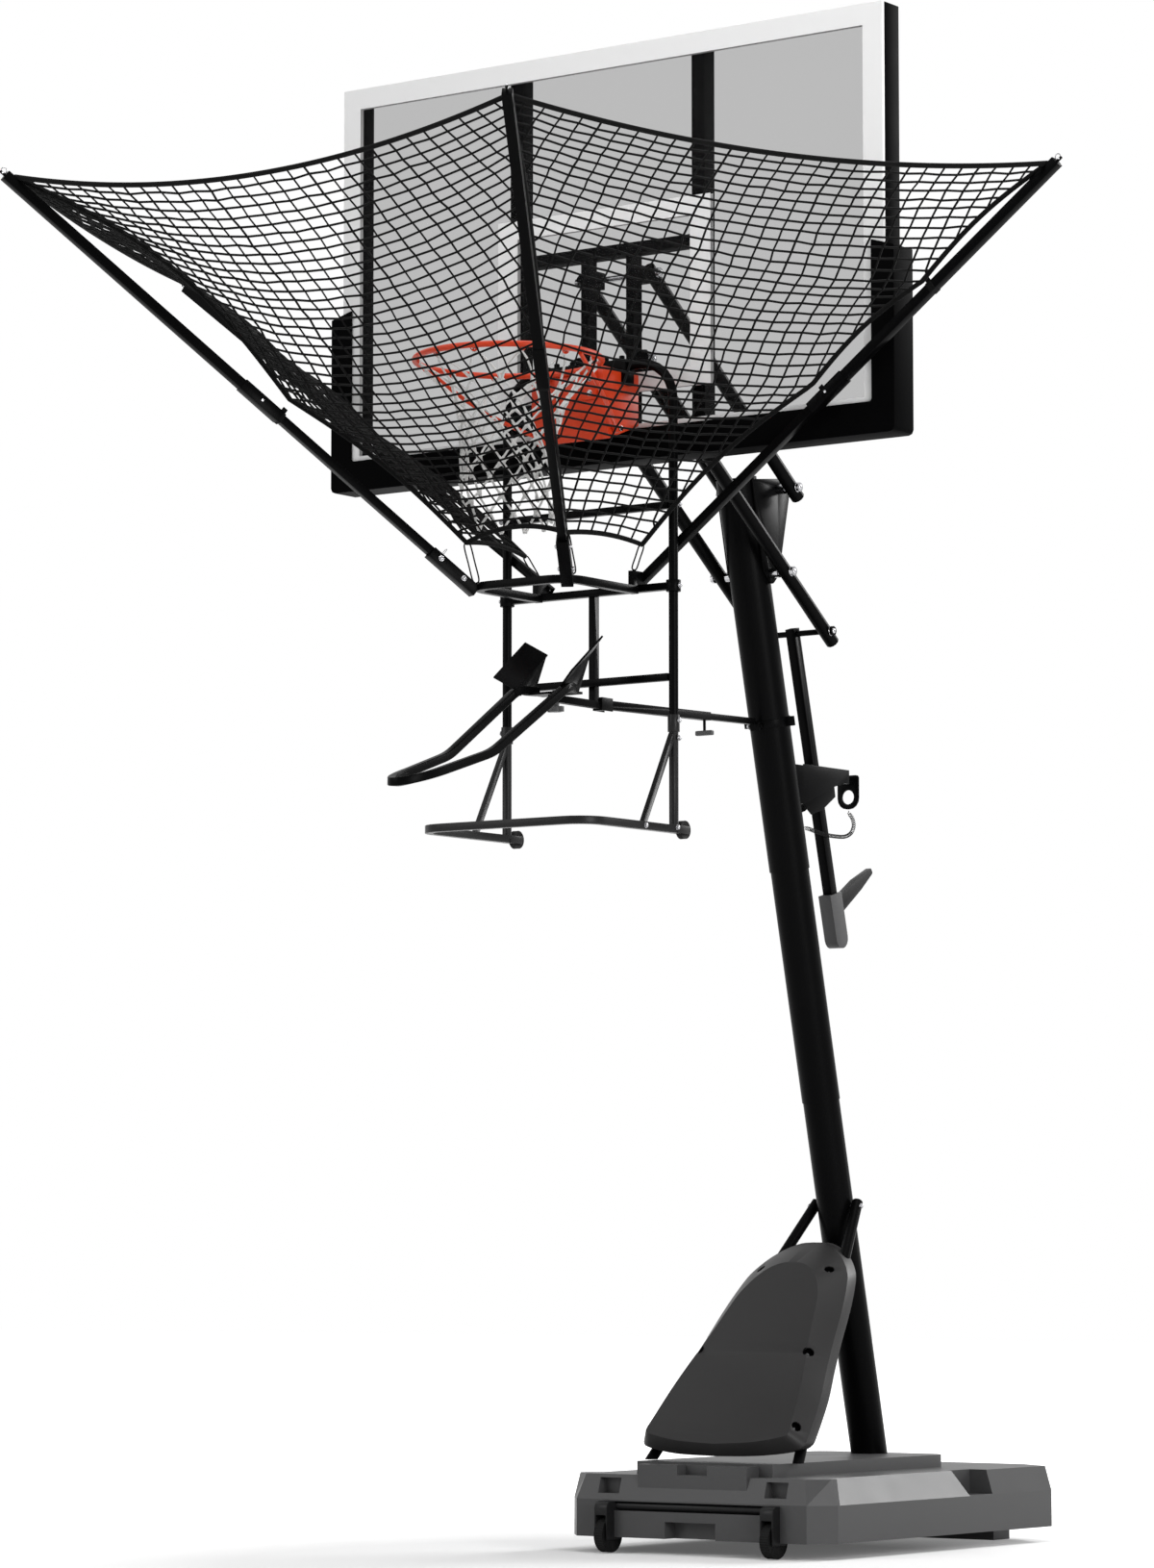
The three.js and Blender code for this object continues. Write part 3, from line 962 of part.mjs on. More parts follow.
function sidePanel(name, side) {
  const front = [hemFront(side), netTip(frontPoles[name])];
  const rear = [hemRear(side), netTip(rearPoles[name])];
  const [first, last] = side > 0 ? [front, rear] : [rear, front];
  const sheet = panelBetween(first[0], last[0], first[1], last[1], net.sideSag, side > 0 ? net.seam : 0, side > 0 ? 0 : net.seam);
  const tieTop = (hem, inward) => hem.clone().add(point(0, inward, net.edge / 2));
  const ties = [
    bar(point(side * netBase.halfWidth, net.hemFront + net.edge * 4, net.tieBottom), tieTop(hemFront(side), net.edge * 1.2), net.tie, 6),
    bar(point(side * netBase.halfWidth, net.hemRear + net.edge, netBase.bracketTop + net.tie + gap), tieTop(hemRear(side), -net.edge),
      net.tie, 6),
  ];
  return join(sheet, ...ties);
}
sides.forEach(([name, side]) => add(machine, `net_${name}_panel`, sidePanel(name, side), blackCord));

// Return chute: two rails to a rounded end, hub plate and two wings
function chuteFork() {
  const { hubZ, hub, hubHalf, railRadius, railSides, tipSteps } = chute;
  const right = [
    point(chute.railEndX, frame.chuteY, hubZ + hub / 2), point(chute.startX, chute.startY, chute.startZ - railRadius),
    point(chute.midX, chute.midY, chute.midZ), point(chute.endX, chute.endY, chute.endZ),
  ];
  const tip = [];
  for (let step = 1; step < tipSteps; step += 1) {
    const angle = Math.PI * step / tipSteps;
    const out = Math.sin(angle);
    tip.push(point(chute.endX * Math.cos(angle), THREE.MathUtils.lerp(chute.endY, chute.tipY, out),
      THREE.MathUtils.lerp(chute.endZ, chute.tipZ, out)));
  }
  const left = right.map(({ x, y, z }) => point(-x, y, z)).reverse();
  const rails = sweep([...right, ...tip, ...left], ringOf(railRadius, railSides));
  const plate = block(-hubHalf, hubHalf, frame.chuteY - hubHalf / 2, frame.chuteY + hubHalf / 2, hubZ, hubZ + hub);
  const along = point(0, Math.cos(radians(chute.wingPitch)), Math.sin(radians(chute.wingPitch)));
  const wings = sides.map(([, side]) => {
    const across = point(side * Math.cos(radians(chute.wingFlare)), 0, Math.sin(radians(chute.wingFlare)));
    across.addScaledVector(along, -along.dot(across)).normalize();
    const { wingLength, wingWidth, wing } = chute;
    const plateHalves = block(-wingLength / 2, wingLength / 2, -wingWidth / 2, wingWidth / 2, -wing / 2, wing / 2);
    return plateHalves.applyMatrix4(new THREE.Matrix4().makeBasis(along, across, along.clone().cross(across))
      .setPosition(side * chute.wingX, chute.wingY, chute.wingZ));
  });
  // A gusset ties each wing to its rail.
  const gussets = sides.map(([, side]) => {
    const { gussetX, gussetFront, gussetRear, gussetBottom, gussetFrontTop, gussetRearTop } = chute;
    const web = plateZ([[gussetFront, gussetBottom], [frame.chuteY, hubZ + hub / 2], [gussetRear, gussetRearTop],
      [gussetFront, gussetFrontTop]], -chute.wing / 2, chute.wing / 2);
    return web.applyMatrix4(new THREE.Matrix4().makeBasis(point(0, 1, 0), point(0, 0, 1), point(1, 0, 0))
      .setPosition(side * gussetX, 0, 0));
  });
  const under = block(-base.halfWidth, base.halfWidth, chute.startY, frame.postY, hubZ - hubHalf, hubZ);
  const bore = barZ(0, frame.chuteY, hubZ - hubHalf, hubZ + hubHalf, knob.shaft + runGap, 12);
  return cut(join(rails, plate, ...wings, ...gussets), under, bore);
}
add(machine, 'chute_fork', chuteFork(), blackSteel);

function chuteKnob() {
  const barBottom = frame.centreBarZ - tube.bar - gap;
  const plateTop = chute.hubZ + chute.hub + gap;
  const head = barZ(0, 0, barBottom - knob.drop - knob.height, barBottom - knob.drop, knob.radius, 8);
  const grip = block(-knob.armHalf, knob.armHalf, -knob.armHalfWidth, knob.armHalfWidth, barBottom - knob.drop - knob.height,
    barBottom - knob.drop);
  const neck = barZ(0, 0, barBottom - knob.drop, barBottom, knob.flange, 8);
  const shaft = barZ(0, 0, barBottom - knob.drop, plateTop + knob.flangeHeight, knob.shaft, 12);
  const flange = barZ(0, 0, plateTop, plateTop + knob.flangeHeight, knob.flange, 8);
  return join(head, grip, neck, shaft, flange);
}
add(machine, 'chute_knob', chuteKnob(), darkPlastic, [0, frame.chuteY, 0]);

// Lower frame with legs, braces, front loop and wheel cheeks
function lowerFrame() {
  const { barZ: z, bar: half, frontY, corner, cornerSteps, sleeve, sleeveTop, brace, rear } = lower;
  const outline = rounded([
    [-hook.legX, rear], [-hook.legX, frontY, corner], [hook.legX, frontY, corner], [hook.legX, rear],
  ], cornerSteps);
  const loop = sweep(outline.map(([x, y]) => point(x, y, z)), squareOf(half));
  const pieces = sides.flatMap(([, side]) => {
    const x = side * hook.legX;
    const cheekOuter = lower.cheekInner + lower.cheek;
    const cheekX = [[x - cheekOuter, x - lower.cheekInner], [x + lower.cheekInner, x + cheekOuter]];
    return [
      barZ(x, hook.legY, z, hook.bottom - gap, tube.radius),
      barZ(x, hook.legY, hook.bottom - lower.sleeve, sleeveTop, sleeve),
      sweep([point(x, hook.legY - tube.radius / 2, lower.braceTop), point(x, lower.braceFootY, z)], squareOf(brace)),
      ...cheekX.map((reach) => block(...reach, hook.legY, lower.cheekRear, z - half, z + half)),
      barX(x - cheekOuter, x + cheekOuter, frameWheel.y, frameWheel.z, frameWheel.axle, 10),
    ];
  });
  const sleeveBores = sides.map(([, side]) => barZ(side * hook.legX, hook.legY, hook.bottom - gap, sleeveTop * 2 - hook.bottom,
    tube.radius + gap));
  return cut(join(loop, ...pieces), ...sleeveBores);
}
add(machine, 'lower_frame', lowerFrame(), blackSteel);
sides.forEach(([name, side]) => {
  const geometry = wheel({ ...frameWheel, shoulder: baseWheel.shoulder / 2 });
  add(machine, `frame_wheel_${name}`, geometry, blackRubber, [side * hook.legX, frameWheel.y, frameWheel.z]);
});

// Strap arm: Y runs along it from its fork
const strapGroup = new THREE.Group();
strapGroup.position.set(0, strap.pivotY, strap.pivotZ);
strapGroup.rotation.x = radians(strap.angle);
machine.add(strapGroup);
const screwPlace = strap.outerLength - strap.screwBack;
function strapOuter() {
  const body = sweep([point(0, -strap.noseReach, 0), point(0, strap.outerLength, 0)], squareOf(strap.outer),
    squareOf(strap.outer - strap.outerWall));
  return cut(body, barX(-strap.outer * 2, strap.outer * 2, 0, 0, strap.pin + runGap, 12),
    barZ(0, screwPlace, -strap.outer * 2, 0, screw.shaft + gap, 12));
}
add(strapGroup, 'strap_outer_tube', strapOuter(), blackSteel);
const lugFront = pole.upperRadius + gap + band.thickness + band.lugReach;
const lugFrontY = poleAxisY(strap.pivotZ + strap.lugRise) - lugFront / Math.cos(radians(pole.lean));
const strapEnd = lugFrontY - gap - strap.pivotY;
add(strapGroup, 'strap_inner_tube', sweep([point(0, strap.innerStart, 0), point(0, strapEnd, 0)], squareOf(strap.inner),
  squareOf(strap.inner - strap.outerWall)), blackSteel);

const screwBottom = -strap.outer - screw.drop;
add(strapGroup, 'strap_screw', join(
  barZ(0, 0, screwBottom, -strap.inner - gap, screw.shaft, 10),
  barZ(0, 0, screwBottom - screw.hubHeight, screwBottom + screw.hubHeight, screw.hub, 10),
  barX(-screw.barHalf, screw.barHalf, 0, screwBottom, screw.bar, 8),
), blackSteel, [0, screwPlace, 0]);

// Band round the pole with its lug
function poleClamp() {
  const { along, half, thickness, lugHalf, lugReach } = band;
  const inner = pole.upperRadius + gap;
  const ring = poleTube(inner + thickness, inner, along - half, along + half);
  const lug = block(-lugHalf, lugHalf, -inner - thickness - lugReach, -inner - thickness / 2, along - half, along + half);
  const bolts = [-1, 1].map((side) => barX(side * lugHalf, side * (lugHalf + band.boltHead), -inner - thickness - lugReach / 2, along,
    band.boltRadius, 6));
  return join(ring, lug, ...bolts);
}
add(poleGroup, 'pole_clamp', poleClamp(), blackSteel);

export default machine;
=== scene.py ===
# Basketball goal with a ball return machine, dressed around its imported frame
import json
import math
import random

import bpy
from mathutils import Matrix, Vector


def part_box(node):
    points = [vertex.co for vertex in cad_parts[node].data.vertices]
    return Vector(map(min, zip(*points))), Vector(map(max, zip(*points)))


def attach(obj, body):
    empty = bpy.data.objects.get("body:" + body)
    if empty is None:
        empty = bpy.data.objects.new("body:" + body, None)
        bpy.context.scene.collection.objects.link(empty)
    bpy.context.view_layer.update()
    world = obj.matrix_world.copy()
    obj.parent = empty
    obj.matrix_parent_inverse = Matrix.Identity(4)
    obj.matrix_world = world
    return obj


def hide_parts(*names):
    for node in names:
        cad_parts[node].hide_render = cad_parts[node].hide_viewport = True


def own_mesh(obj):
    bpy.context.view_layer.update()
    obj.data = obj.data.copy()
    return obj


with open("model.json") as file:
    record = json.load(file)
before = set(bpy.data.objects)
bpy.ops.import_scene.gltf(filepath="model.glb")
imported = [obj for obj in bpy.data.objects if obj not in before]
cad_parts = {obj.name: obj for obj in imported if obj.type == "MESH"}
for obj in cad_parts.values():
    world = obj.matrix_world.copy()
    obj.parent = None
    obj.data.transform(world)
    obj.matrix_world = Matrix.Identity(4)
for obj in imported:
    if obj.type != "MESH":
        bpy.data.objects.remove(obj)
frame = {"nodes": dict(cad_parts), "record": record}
nodes = frame["nodes"]
bodyOf = {name: body for body, members in frame["record"]["behaviour"]["bodies"].items() for name in members}
slotOf = {part["node"]: part["material_slot"] for part in frame["record"]["subparts"]}
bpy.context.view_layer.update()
mm = 0.001
boardFaceY = -75.5  # the machine is drawn from the board's face, in millimetres
print("frame loaded:", len(nodes), "nodes")

# Camera, matched to the photograph
cameraSet = {"place": (7.5726, -10.6795, 0.77594), "pitch": 0.093079, "yaw": 0.62529, "focal": 5270.9,
             "longSide": 1630, "sensor": 36.0, "near": 0.1, "far": 200}
lens = bpy.data.cameras.new("camera")
lens.sensor_width = cameraSet["sensor"]
lens.lens = cameraSet["focal"] / cameraSet["longSide"] * cameraSet["sensor"]
lens.clip_start, lens.clip_end = cameraSet["near"], cameraSet["far"]
camera = bpy.data.objects.new("camera", lens)
camera.location = cameraSet["place"]
camera.rotation_euler = (math.pi / 2 + cameraSet["pitch"], 0, cameraSet["yaw"])
bpy.context.scene.collection.objects.link(camera)
bpy.context.scene.camera = camera


def at(x, y, z):  # a place on the machine, in metres
    return Vector((x, y + boardFaceY, z)) * mm


def onlySelect(*pieces):
    bpy.ops.object.select_all(action="DESELECT")
    for piece in pieces:
        piece.select_set(True)
    bpy.context.view_layer.objects.active = pieces[0]


def editAll():
    bpy.ops.object.mode_set(mode="EDIT")
    bpy.ops.mesh.select_all(action="SELECT")


def objectMode():
    bpy.ops.object.mode_set(mode="OBJECT")


# Sums on sockets, for the finishes
class Wire:
    def __init__(self, paint, socket):
        self.paint, self.socket = paint, socket

    def sum(self, operation, first, second):
        return self.paint.add("ShaderNodeMath", {"operation": operation}, {0: first, 1: second})

    def __add__(self, other):
        return self.sum("ADD", self, other)

    def __mul__(self, other):
        return self.sum("MULTIPLY", self, other)

    def __sub__(self, other):
        return self.sum("SUBTRACT", self, other)

    def __rsub__(self, other):
        return self.sum("SUBTRACT", other, self)

    def __gt__(self, other):
        return self.sum("GREATER_THAN", self, other)

    def __lt__(self, other):
        return self.sum("LESS_THAN", self, other)

    __radd__, __rmul__ = __add__, __mul__


class Paint:  # the nodes of one material, or of the world
    def __init__(self, name, world=False):
        self.owner = (bpy.data.worlds if world else bpy.data.materials).new(name)
        self.owner.use_nodes = True
        self.tree = self.owner.node_tree
        self.tree.nodes.clear()
        self.output = "ShaderNodeOutputWorld" if world else "ShaderNodeOutputMaterial"
        self.place = None if world else self.add("ShaderNodeTexCoord", output="Object")

    def add(self, kind, settings=None, values=None, output=0):
        node = self.tree.nodes.new(kind)
        for key, value in (settings or {}).items():
            if key == "stops":
                ramp = node.color_ramp.elements
                while len(ramp) < len(value):
                    ramp.new(0.5)
                for element, (spot, colour) in zip(ramp, value):
                    element.position, element.color = spot, colour
            else:
                setattr(node, key, value)
        for key, value in (values or {}).items():
            if isinstance(value, Wire):
                self.tree.links.new(value.socket, node.inputs[key])
            else:
                node.inputs[key].default_value = value
        return Wire(self, node.outputs[output]) if node.outputs else None

    def noise(self, scale, detail=3.0, rough=0.55):
        return self.add("ShaderNodeTexNoise", None, {"Vector": self.place, "Scale": scale, "Detail": detail,
                                                     "Roughness": rough})

    def ramp(self, value, low, high):
        black, white = (0, 0, 0, 1), (1, 1, 1, 1)
        return self.add("ShaderNodeValToRGB", {"stops": [(low, black), (high, white)]}, {"Fac": value})

    def mix(self, mask, first, second):
        return self.add("ShaderNodeMix", {"data_type": "RGBA"}, {0: mask, 6: first, 7: second}, 2)

    def axis(self, output):
        return self.add("ShaderNodeSeparateXYZ", None, {0: self.place}, output)

    def seen(self):  # 1 for what the camera sees, in gloss and through the pane too
        camera, gloss, through = [self.add("ShaderNodeLightPath", output=f"Is {kind} Ray")
                                  for kind in ("Camera", "Glossy", "Transmission")]
        return camera.sum("MAXIMUM", camera.sum("MAXIMUM", camera, gloss), through)

    def finish(self, colour, roughness, height, depth, fixed, alpha=1.0):
        bump = self.add("ShaderNodeBump", None, {"Height": height, "Strength": 1.0, "Distance": depth})
        values = {"Base Color": colour, "Roughness": roughness, "Normal": bump, "Alpha": alpha, **fixed}
        self.link(self.add("ShaderNodeBsdfPrincipled", None, values))
        return self.owner

    def link(self, shader):
        self.add(self.output, None, {"Surface": shader})


def shadeOf(colour, factor):
    return tuple(min(1.0, part * factor) for part in colour[:3]) + (1.0,)


# One entry for each finish: colour and roughness with their drift, grains per metre and their depth in metres
finishes = {
    "powderBlack": {"colour": (0.0012, 0.0012, 0.0013), "drift": 1.9, "rough": 0.32, "roughDrift": 0.16,
                    "grain": 620, "depth": 0.00005, "gloss": 0.025},
    "boardBlack": {"colour": (0.0009, 0.0009, 0.001), "drift": 1.8, "rough": 0.5, "roughDrift": 0.14, "grain": 620,
                   "depth": 0.00005, "gloss": 0.004},
    "powderGrey": {"colour": (0.006, 0.006, 0.0062), "drift": 1.6, "rough": 0.36, "roughDrift": 0.14, "grain": 620,
                   "depth": 0.00005, "gloss": 0.14},
    "tankPlastic": {"colour": (0.045, 0.045, 0.0458), "drift": 1.3, "rough": 0.42, "roughDrift": 0.14, "grain": 480,
                    "depth": 0.00016, "gloss": 0.22},
    "hoodPlastic": {"colour": (0.0175, 0.017, 0.0172), "drift": 1.25, "rough": 0.42, "roughDrift": 0.12,
                    "grain": 520, "depth": 0.00014, "gloss": 0.16},
    "gripPlastic": {"colour": (0.045, 0.045, 0.046), "drift": 1.3, "rough": 0.48, "roughDrift": 0.14, "grain": 700,
                    "depth": 0.0001, "gloss": 0.22},
    "tyreRubber": {"colour": (0.004, 0.004, 0.004), "drift": 2.2, "rough": 0.62, "roughDrift": 0.18, "grain": 420,
                   "depth": 0.0002, "gloss": 0.1},
    # Pad rubber, also used on the hood's screw seats as painted shade in their recesses
    "padRubberAndSeatShade": {"colour": (0.0011, 0.0011, 0.0012), "drift": 1.8, "rough": 0.5, "roughDrift": 0.15, "grain": 360,
                  "depth": 0.00018, "gloss": 0.006},
    "boltChrome": {"colour": (0.34, 0.34, 0.35), "drift": 1.12, "rough": 0.16, "roughDrift": 0.1, "grain": 300,
                   "depth": 0.00002, "metal": 1.0},
    "boltDark": {"colour": (0.09, 0.09, 0.092), "drift": 1.2, "rough": 0.3, "roughDrift": 0.12, "grain": 300,
                 "depth": 0.00002, "metal": 1.0},
    "rimOrange": {"colour": (0.56, 0.042, 0.009), "drift": 1.1, "rough": 0.36, "roughDrift": 0.12, "grain": 560,
                  "depth": 0.00006, "gloss": 0.25},
    "whiteCord": {"colour": (0.62, 0.62, 0.61), "drift": 0.9, "rough": 0.78, "roughDrift": 0.12, "grain": 900,
                  "depth": 0.0004, "sheen": 0.25},
    "blackCord": {"colour": (0.0022, 0.0022, 0.0022), "drift": 2.0, "rough": 0.8, "roughDrift": 0.12, "grain": 900,
                  "depth": 0.0004, "gloss": 0.06, "sheen": 0.02},
}

# What all the finishes share: pale clouds, scuffs and grain
wear = {"cloud": 7.0, "cloudDetail": 4.0, "scuff": 34.0, "scuffDetail": 6.0, "scuffRough": 0.7, "scuffFrom": 0.6,
        "scuffTo": 0.82, "scuffShare": 0.35, "scuffDrift": 1.35, "scuffDull": 0.07, "grainShare": 0.6, "cell": 0.8}


def makeFinish(name):
    spec = finishes[name]
    paint = Paint(name)
    cloud = paint.noise(wear["cloud"], wear["cloudDetail"])
    grain = paint.noise(spec["grain"], 2.0)
    scuff = paint.noise(wear["scuff"], wear["scuffDetail"], wear["scuffRough"])
    scuff = paint.ramp(scuff, wear["scuffFrom"], wear["scuffTo"])
    colour = paint.mix(cloud, shadeOf(spec["colour"], 1.0), shadeOf(spec["colour"], spec["drift"]))
    worn = shadeOf(spec["colour"], spec["drift"] * wear["scuffDrift"])
    colour = paint.mix(scuff * wear["scuffShare"], colour, worn)
    roughness = spec["rough"] + (cloud - 0.5) * spec["roughDrift"] + scuff * wear["scuffDull"]
    cell = paint.add("ShaderNodeTexVoronoi", None, {"Vector": paint.place, "Scale": spec["grain"] * wear["cell"]})
    height = grain * wear["grainShare"] + cell * (1 - wear["grainShare"])
    fixed = {"Specular IOR Level": spec.get("gloss", 0.5), "Metallic": spec.get("metal", 0.0),
             "Sheen Weight": spec.get("sheen", 0.0)}
    return paint.finish(colour, roughness, height, spec["depth"], fixed)


finish = {name: makeFinish(name) for name in finishes}
print("finishes made:", len(finish))

# Backboard pane: clear middle, white printed border, white aiming rectangle
pane = {"clear": (0.004, 0.004, 0.0042), "white": (0.76, 0.76, 0.76), "border": 57, "borderTop": 55.6,
        "halfWidth": 862.5, "bottom": 2866, "top": 3927, "aimHalf": 340, "aimInner": 276, "aimBottom": 3006,
        "aimTop": 3500, "aimBand": 50, "tint": 0.3, "dust": (0.75, 0.76, 0.77, 1.0), "dustShare": 0.004,
        "rough": 0.08, "printRough": 0.22, "smear": 0.05, "depth": 0.00001, "gloss": 0.03}


def makePane():
    paint = Paint("boardPane")
    x, z = paint.axis(0), paint.axis(2)
    side = x.sum("ABSOLUTE", x, 0)

    def within(half, low, high):
        return (side < half * mm) * (z > low * mm) * (z < high * mm)

    clear = within(pane["halfWidth"] - pane["border"], pane["bottom"] + pane["borderTop"],
                   pane["top"] - pane["borderTop"])
    outer = within(pane["aimHalf"], pane["aimBottom"], pane["aimTop"])
    inner = within(pane["aimInner"], pane["aimBottom"] + pane["aimBand"], pane["aimTop"] - pane["aimBand"])
    white = (1 - clear) + outer * (1 - inner)
    white = white.sum("MINIMUM", white, 1.0)
    colour = paint.mix(white, shadeOf(pane["clear"], 1.0), shadeOf(pane["white"], 1.0))
    colour = paint.mix(paint.noise(3.0) * pane["dustShare"], colour, pane["dust"])
    alpha = white * (1 - pane["tint"]) + pane["tint"]
    roughness = pane["rough"] + white * pane["printRough"] + paint.noise(60.0, 5.0) * pane["smear"]
    fixed = {"Specular IOR Level": pane["gloss"]}
    return paint.finish(colour, roughness, paint.noise(300.0), pane["depth"], fixed, alpha)


finish["boardPane"] = makePane()


def place(piece, name, look, node, *replaced, slot=None):  # it takes its finish and rides with the node; the nodes it replaces are hidden
    piece.name = name
    piece.data.materials.clear()
    piece.data.materials.append(finish[look])
    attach(piece, bodyOf[node])
    slot or slotOf[node]
    if replaced:
        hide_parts(*replaced)
    return piece


def smooth(piece, angle):
    onlySelect(piece)
    bpy.ops.object.shade_smooth_by_angle(angle=math.radians(angle))


def bevelled(piece, width, segments=2, angle=35, crisp=False):
    onlySelect(piece)
    if crisp:
        bpy.ops.object.shade_smooth()
    modifier = piece.modifiers.new("edge", "BEVEL")
    modifier.width, modifier.segments, modifier.limit_method = width, segments, "ANGLE"
    modifier.angle_limit, modifier.harden_normals = math.radians(angle), crisp
    bpy.ops.object.modifier_apply(modifier=modifier.name)
    return piece


def settle(piece):  # the place goes into the mesh
    onlySelect(piece)
    bpy.ops.object.transform_apply(location=True, rotation=True, scale=True)
    return piece


def joined(pieces):
    onlySelect(*pieces)
    if len(pieces) > 1:
        bpy.ops.object.join()
    return settle(bpy.context.view_layer.objects.active)


def copyOf(piece, matrix):
    twin = piece.copy()
    twin.data = piece.data.copy()
    twin.data.transform(matrix)
    bpy.context.scene.collection.objects.link(twin)
    return twin


def cylinder(start, end, radius, sides=24, cap=0.0):
    along = end - start
    bpy.ops.mesh.primitive_cylinder_add(vertices=sides, radius=radius, depth=along.length, location=(start + end) / 2,
                                        rotation=along.to_track_quat("Z", "Y").to_euler())
    piece = settle(bpy.context.object)
    if cap:
        bevelled(piece, cap, 2, 50)
    return piece


def block(low, high, edge, turn=None):
    size = high - low
    bpy.ops.mesh.primitive_cube_add(size=1, location=(low + high) / 2, scale=size)
    piece = bevelled(settle(bpy.context.object), edge)
    if turn:
        piece.data.transform(turn)
    return piece


def tubes(name, lines, radius, resolution=1, thick=None, closed=False, square=False):
    data = bpy.data.curves.new(name, "CURVE")
    data.twist_mode = "Z_UP" if square else "MINIMUM"
    data.dimensions, data.bevel_depth, data.bevel_resolution, data.use_fill_caps = "3D", radius, resolution, True
    for index, line in enumerate(lines):
        spline = data.splines.new("POLY")
        spline.points.add(len(line) - 1)
        for spot, corner in zip(spline.points, line):
            spot.co = (*corner, 1)
            spot.tilt = math.pi / 4 if square else 0
        if thick:
            for spot, share in zip(spline.points, thick[index]):
                spot.radius = share
        spline.use_cyclic_u = closed
    piece = bpy.data.objects.new(name, data)
    bpy.context.scene.collection.objects.link(piece)
    return piece


def meshed(piece):
    onlySelect(piece)
    bpy.ops.object.convert(target="MESH")
    return bpy.context.view_layer.objects.active


def curveThrough(points, steps):  # a smooth line through its points
    spots = [points[0] * 2 - points[1], *points, points[-1] * 2 - points[-2]]
    line = []
    for index in range(1, len(spots) - 2):
        p, q, r, s = spots[index - 1:index + 3]
        swing, turn = 2 * p - 5 * q + 4 * r - s, 3 * q - p - 3 * r + s
        for step in range(steps):
            t = step / steps
            line.append(0.5 * ((2 * q) + (r - p) * t + swing * t * t + turn * t ** 3))
    return line + [points[-1]]


def rounded(start, corner, end, steps):  # the way that a bent tube takes round a corner
    shares = [step / steps for step in range(steps + 1)]
    return [start.lerp(corner, t).lerp(corner.lerp(end, t), t) for t in shares]


# Tether of the lock pin: a curly cord from the grip plate, round the rod, back to the pole
tether = {"coil": 4.8, "cord": 1.0, "pitch": 6.2, "steps": 12, "lead": 1.5, "route": [
    (0, 1169, 2006), (2, 1170, 1998), (15, 1166, 1984), (25, 1157, 1963), (29, 1138, 1942), (31, 1104, 1929),
    (31, 1060, 1926), (31, 1010, 1927), (32, 958, 1932), (32, 922, 1937), (27, 901, 1940)]}


def makeTether():
    spine = curveThrough([at(*spot) for spot in tether["route"]], 24)
    run = [0.0]
    for first, second in zip(spine, spine[1:]):
        run.append(run[-1] + (second - first).length)
    turns = round(run[-1] / (tether["pitch"] * mm))
    count = turns * tether["steps"]
    line, index, angle = [], 0, 0.0
    side = Vector((1, 0, 0))
    for step in range(count + 1):
        reach = run[-1] * step / count
        while index < len(run) - 2 and run[index + 1] < reach:
            index += 1
        share = (reach - run[index]) / (run[index + 1] - run[index])
        middle = spine[index].lerp(spine[index + 1], share)
        along = (spine[index + 1] - spine[index]).normalized()
        side = (side - along * side.dot(along)).normalized()
        across = along.cross(side)
        grow = min(1.0, step / tether["steps"] / tether["lead"], (count - step) / tether["steps"] / tether["lead"])
        angle += 2 * math.pi / tether["steps"] * grow  # the curl opens and closes slowly
        line.append(middle + (side * math.cos(angle) + across * math.sin(angle)) * tether["coil"] * mm * grow)
    piece = tubes("lock_tether_cord", [line], tether["cord"] * mm, 1)
    long = sum((second - first).length for first, second in zip(line, line[1:]))
    place(piece, "lock_tether_cord", "tyreRubber", "lock_tether", "lock_tether", slot="cord_black")
    tuple(line[0])
    print("tether:", turns, "turns,", round(long, 2), "m of cord")


makeTether()

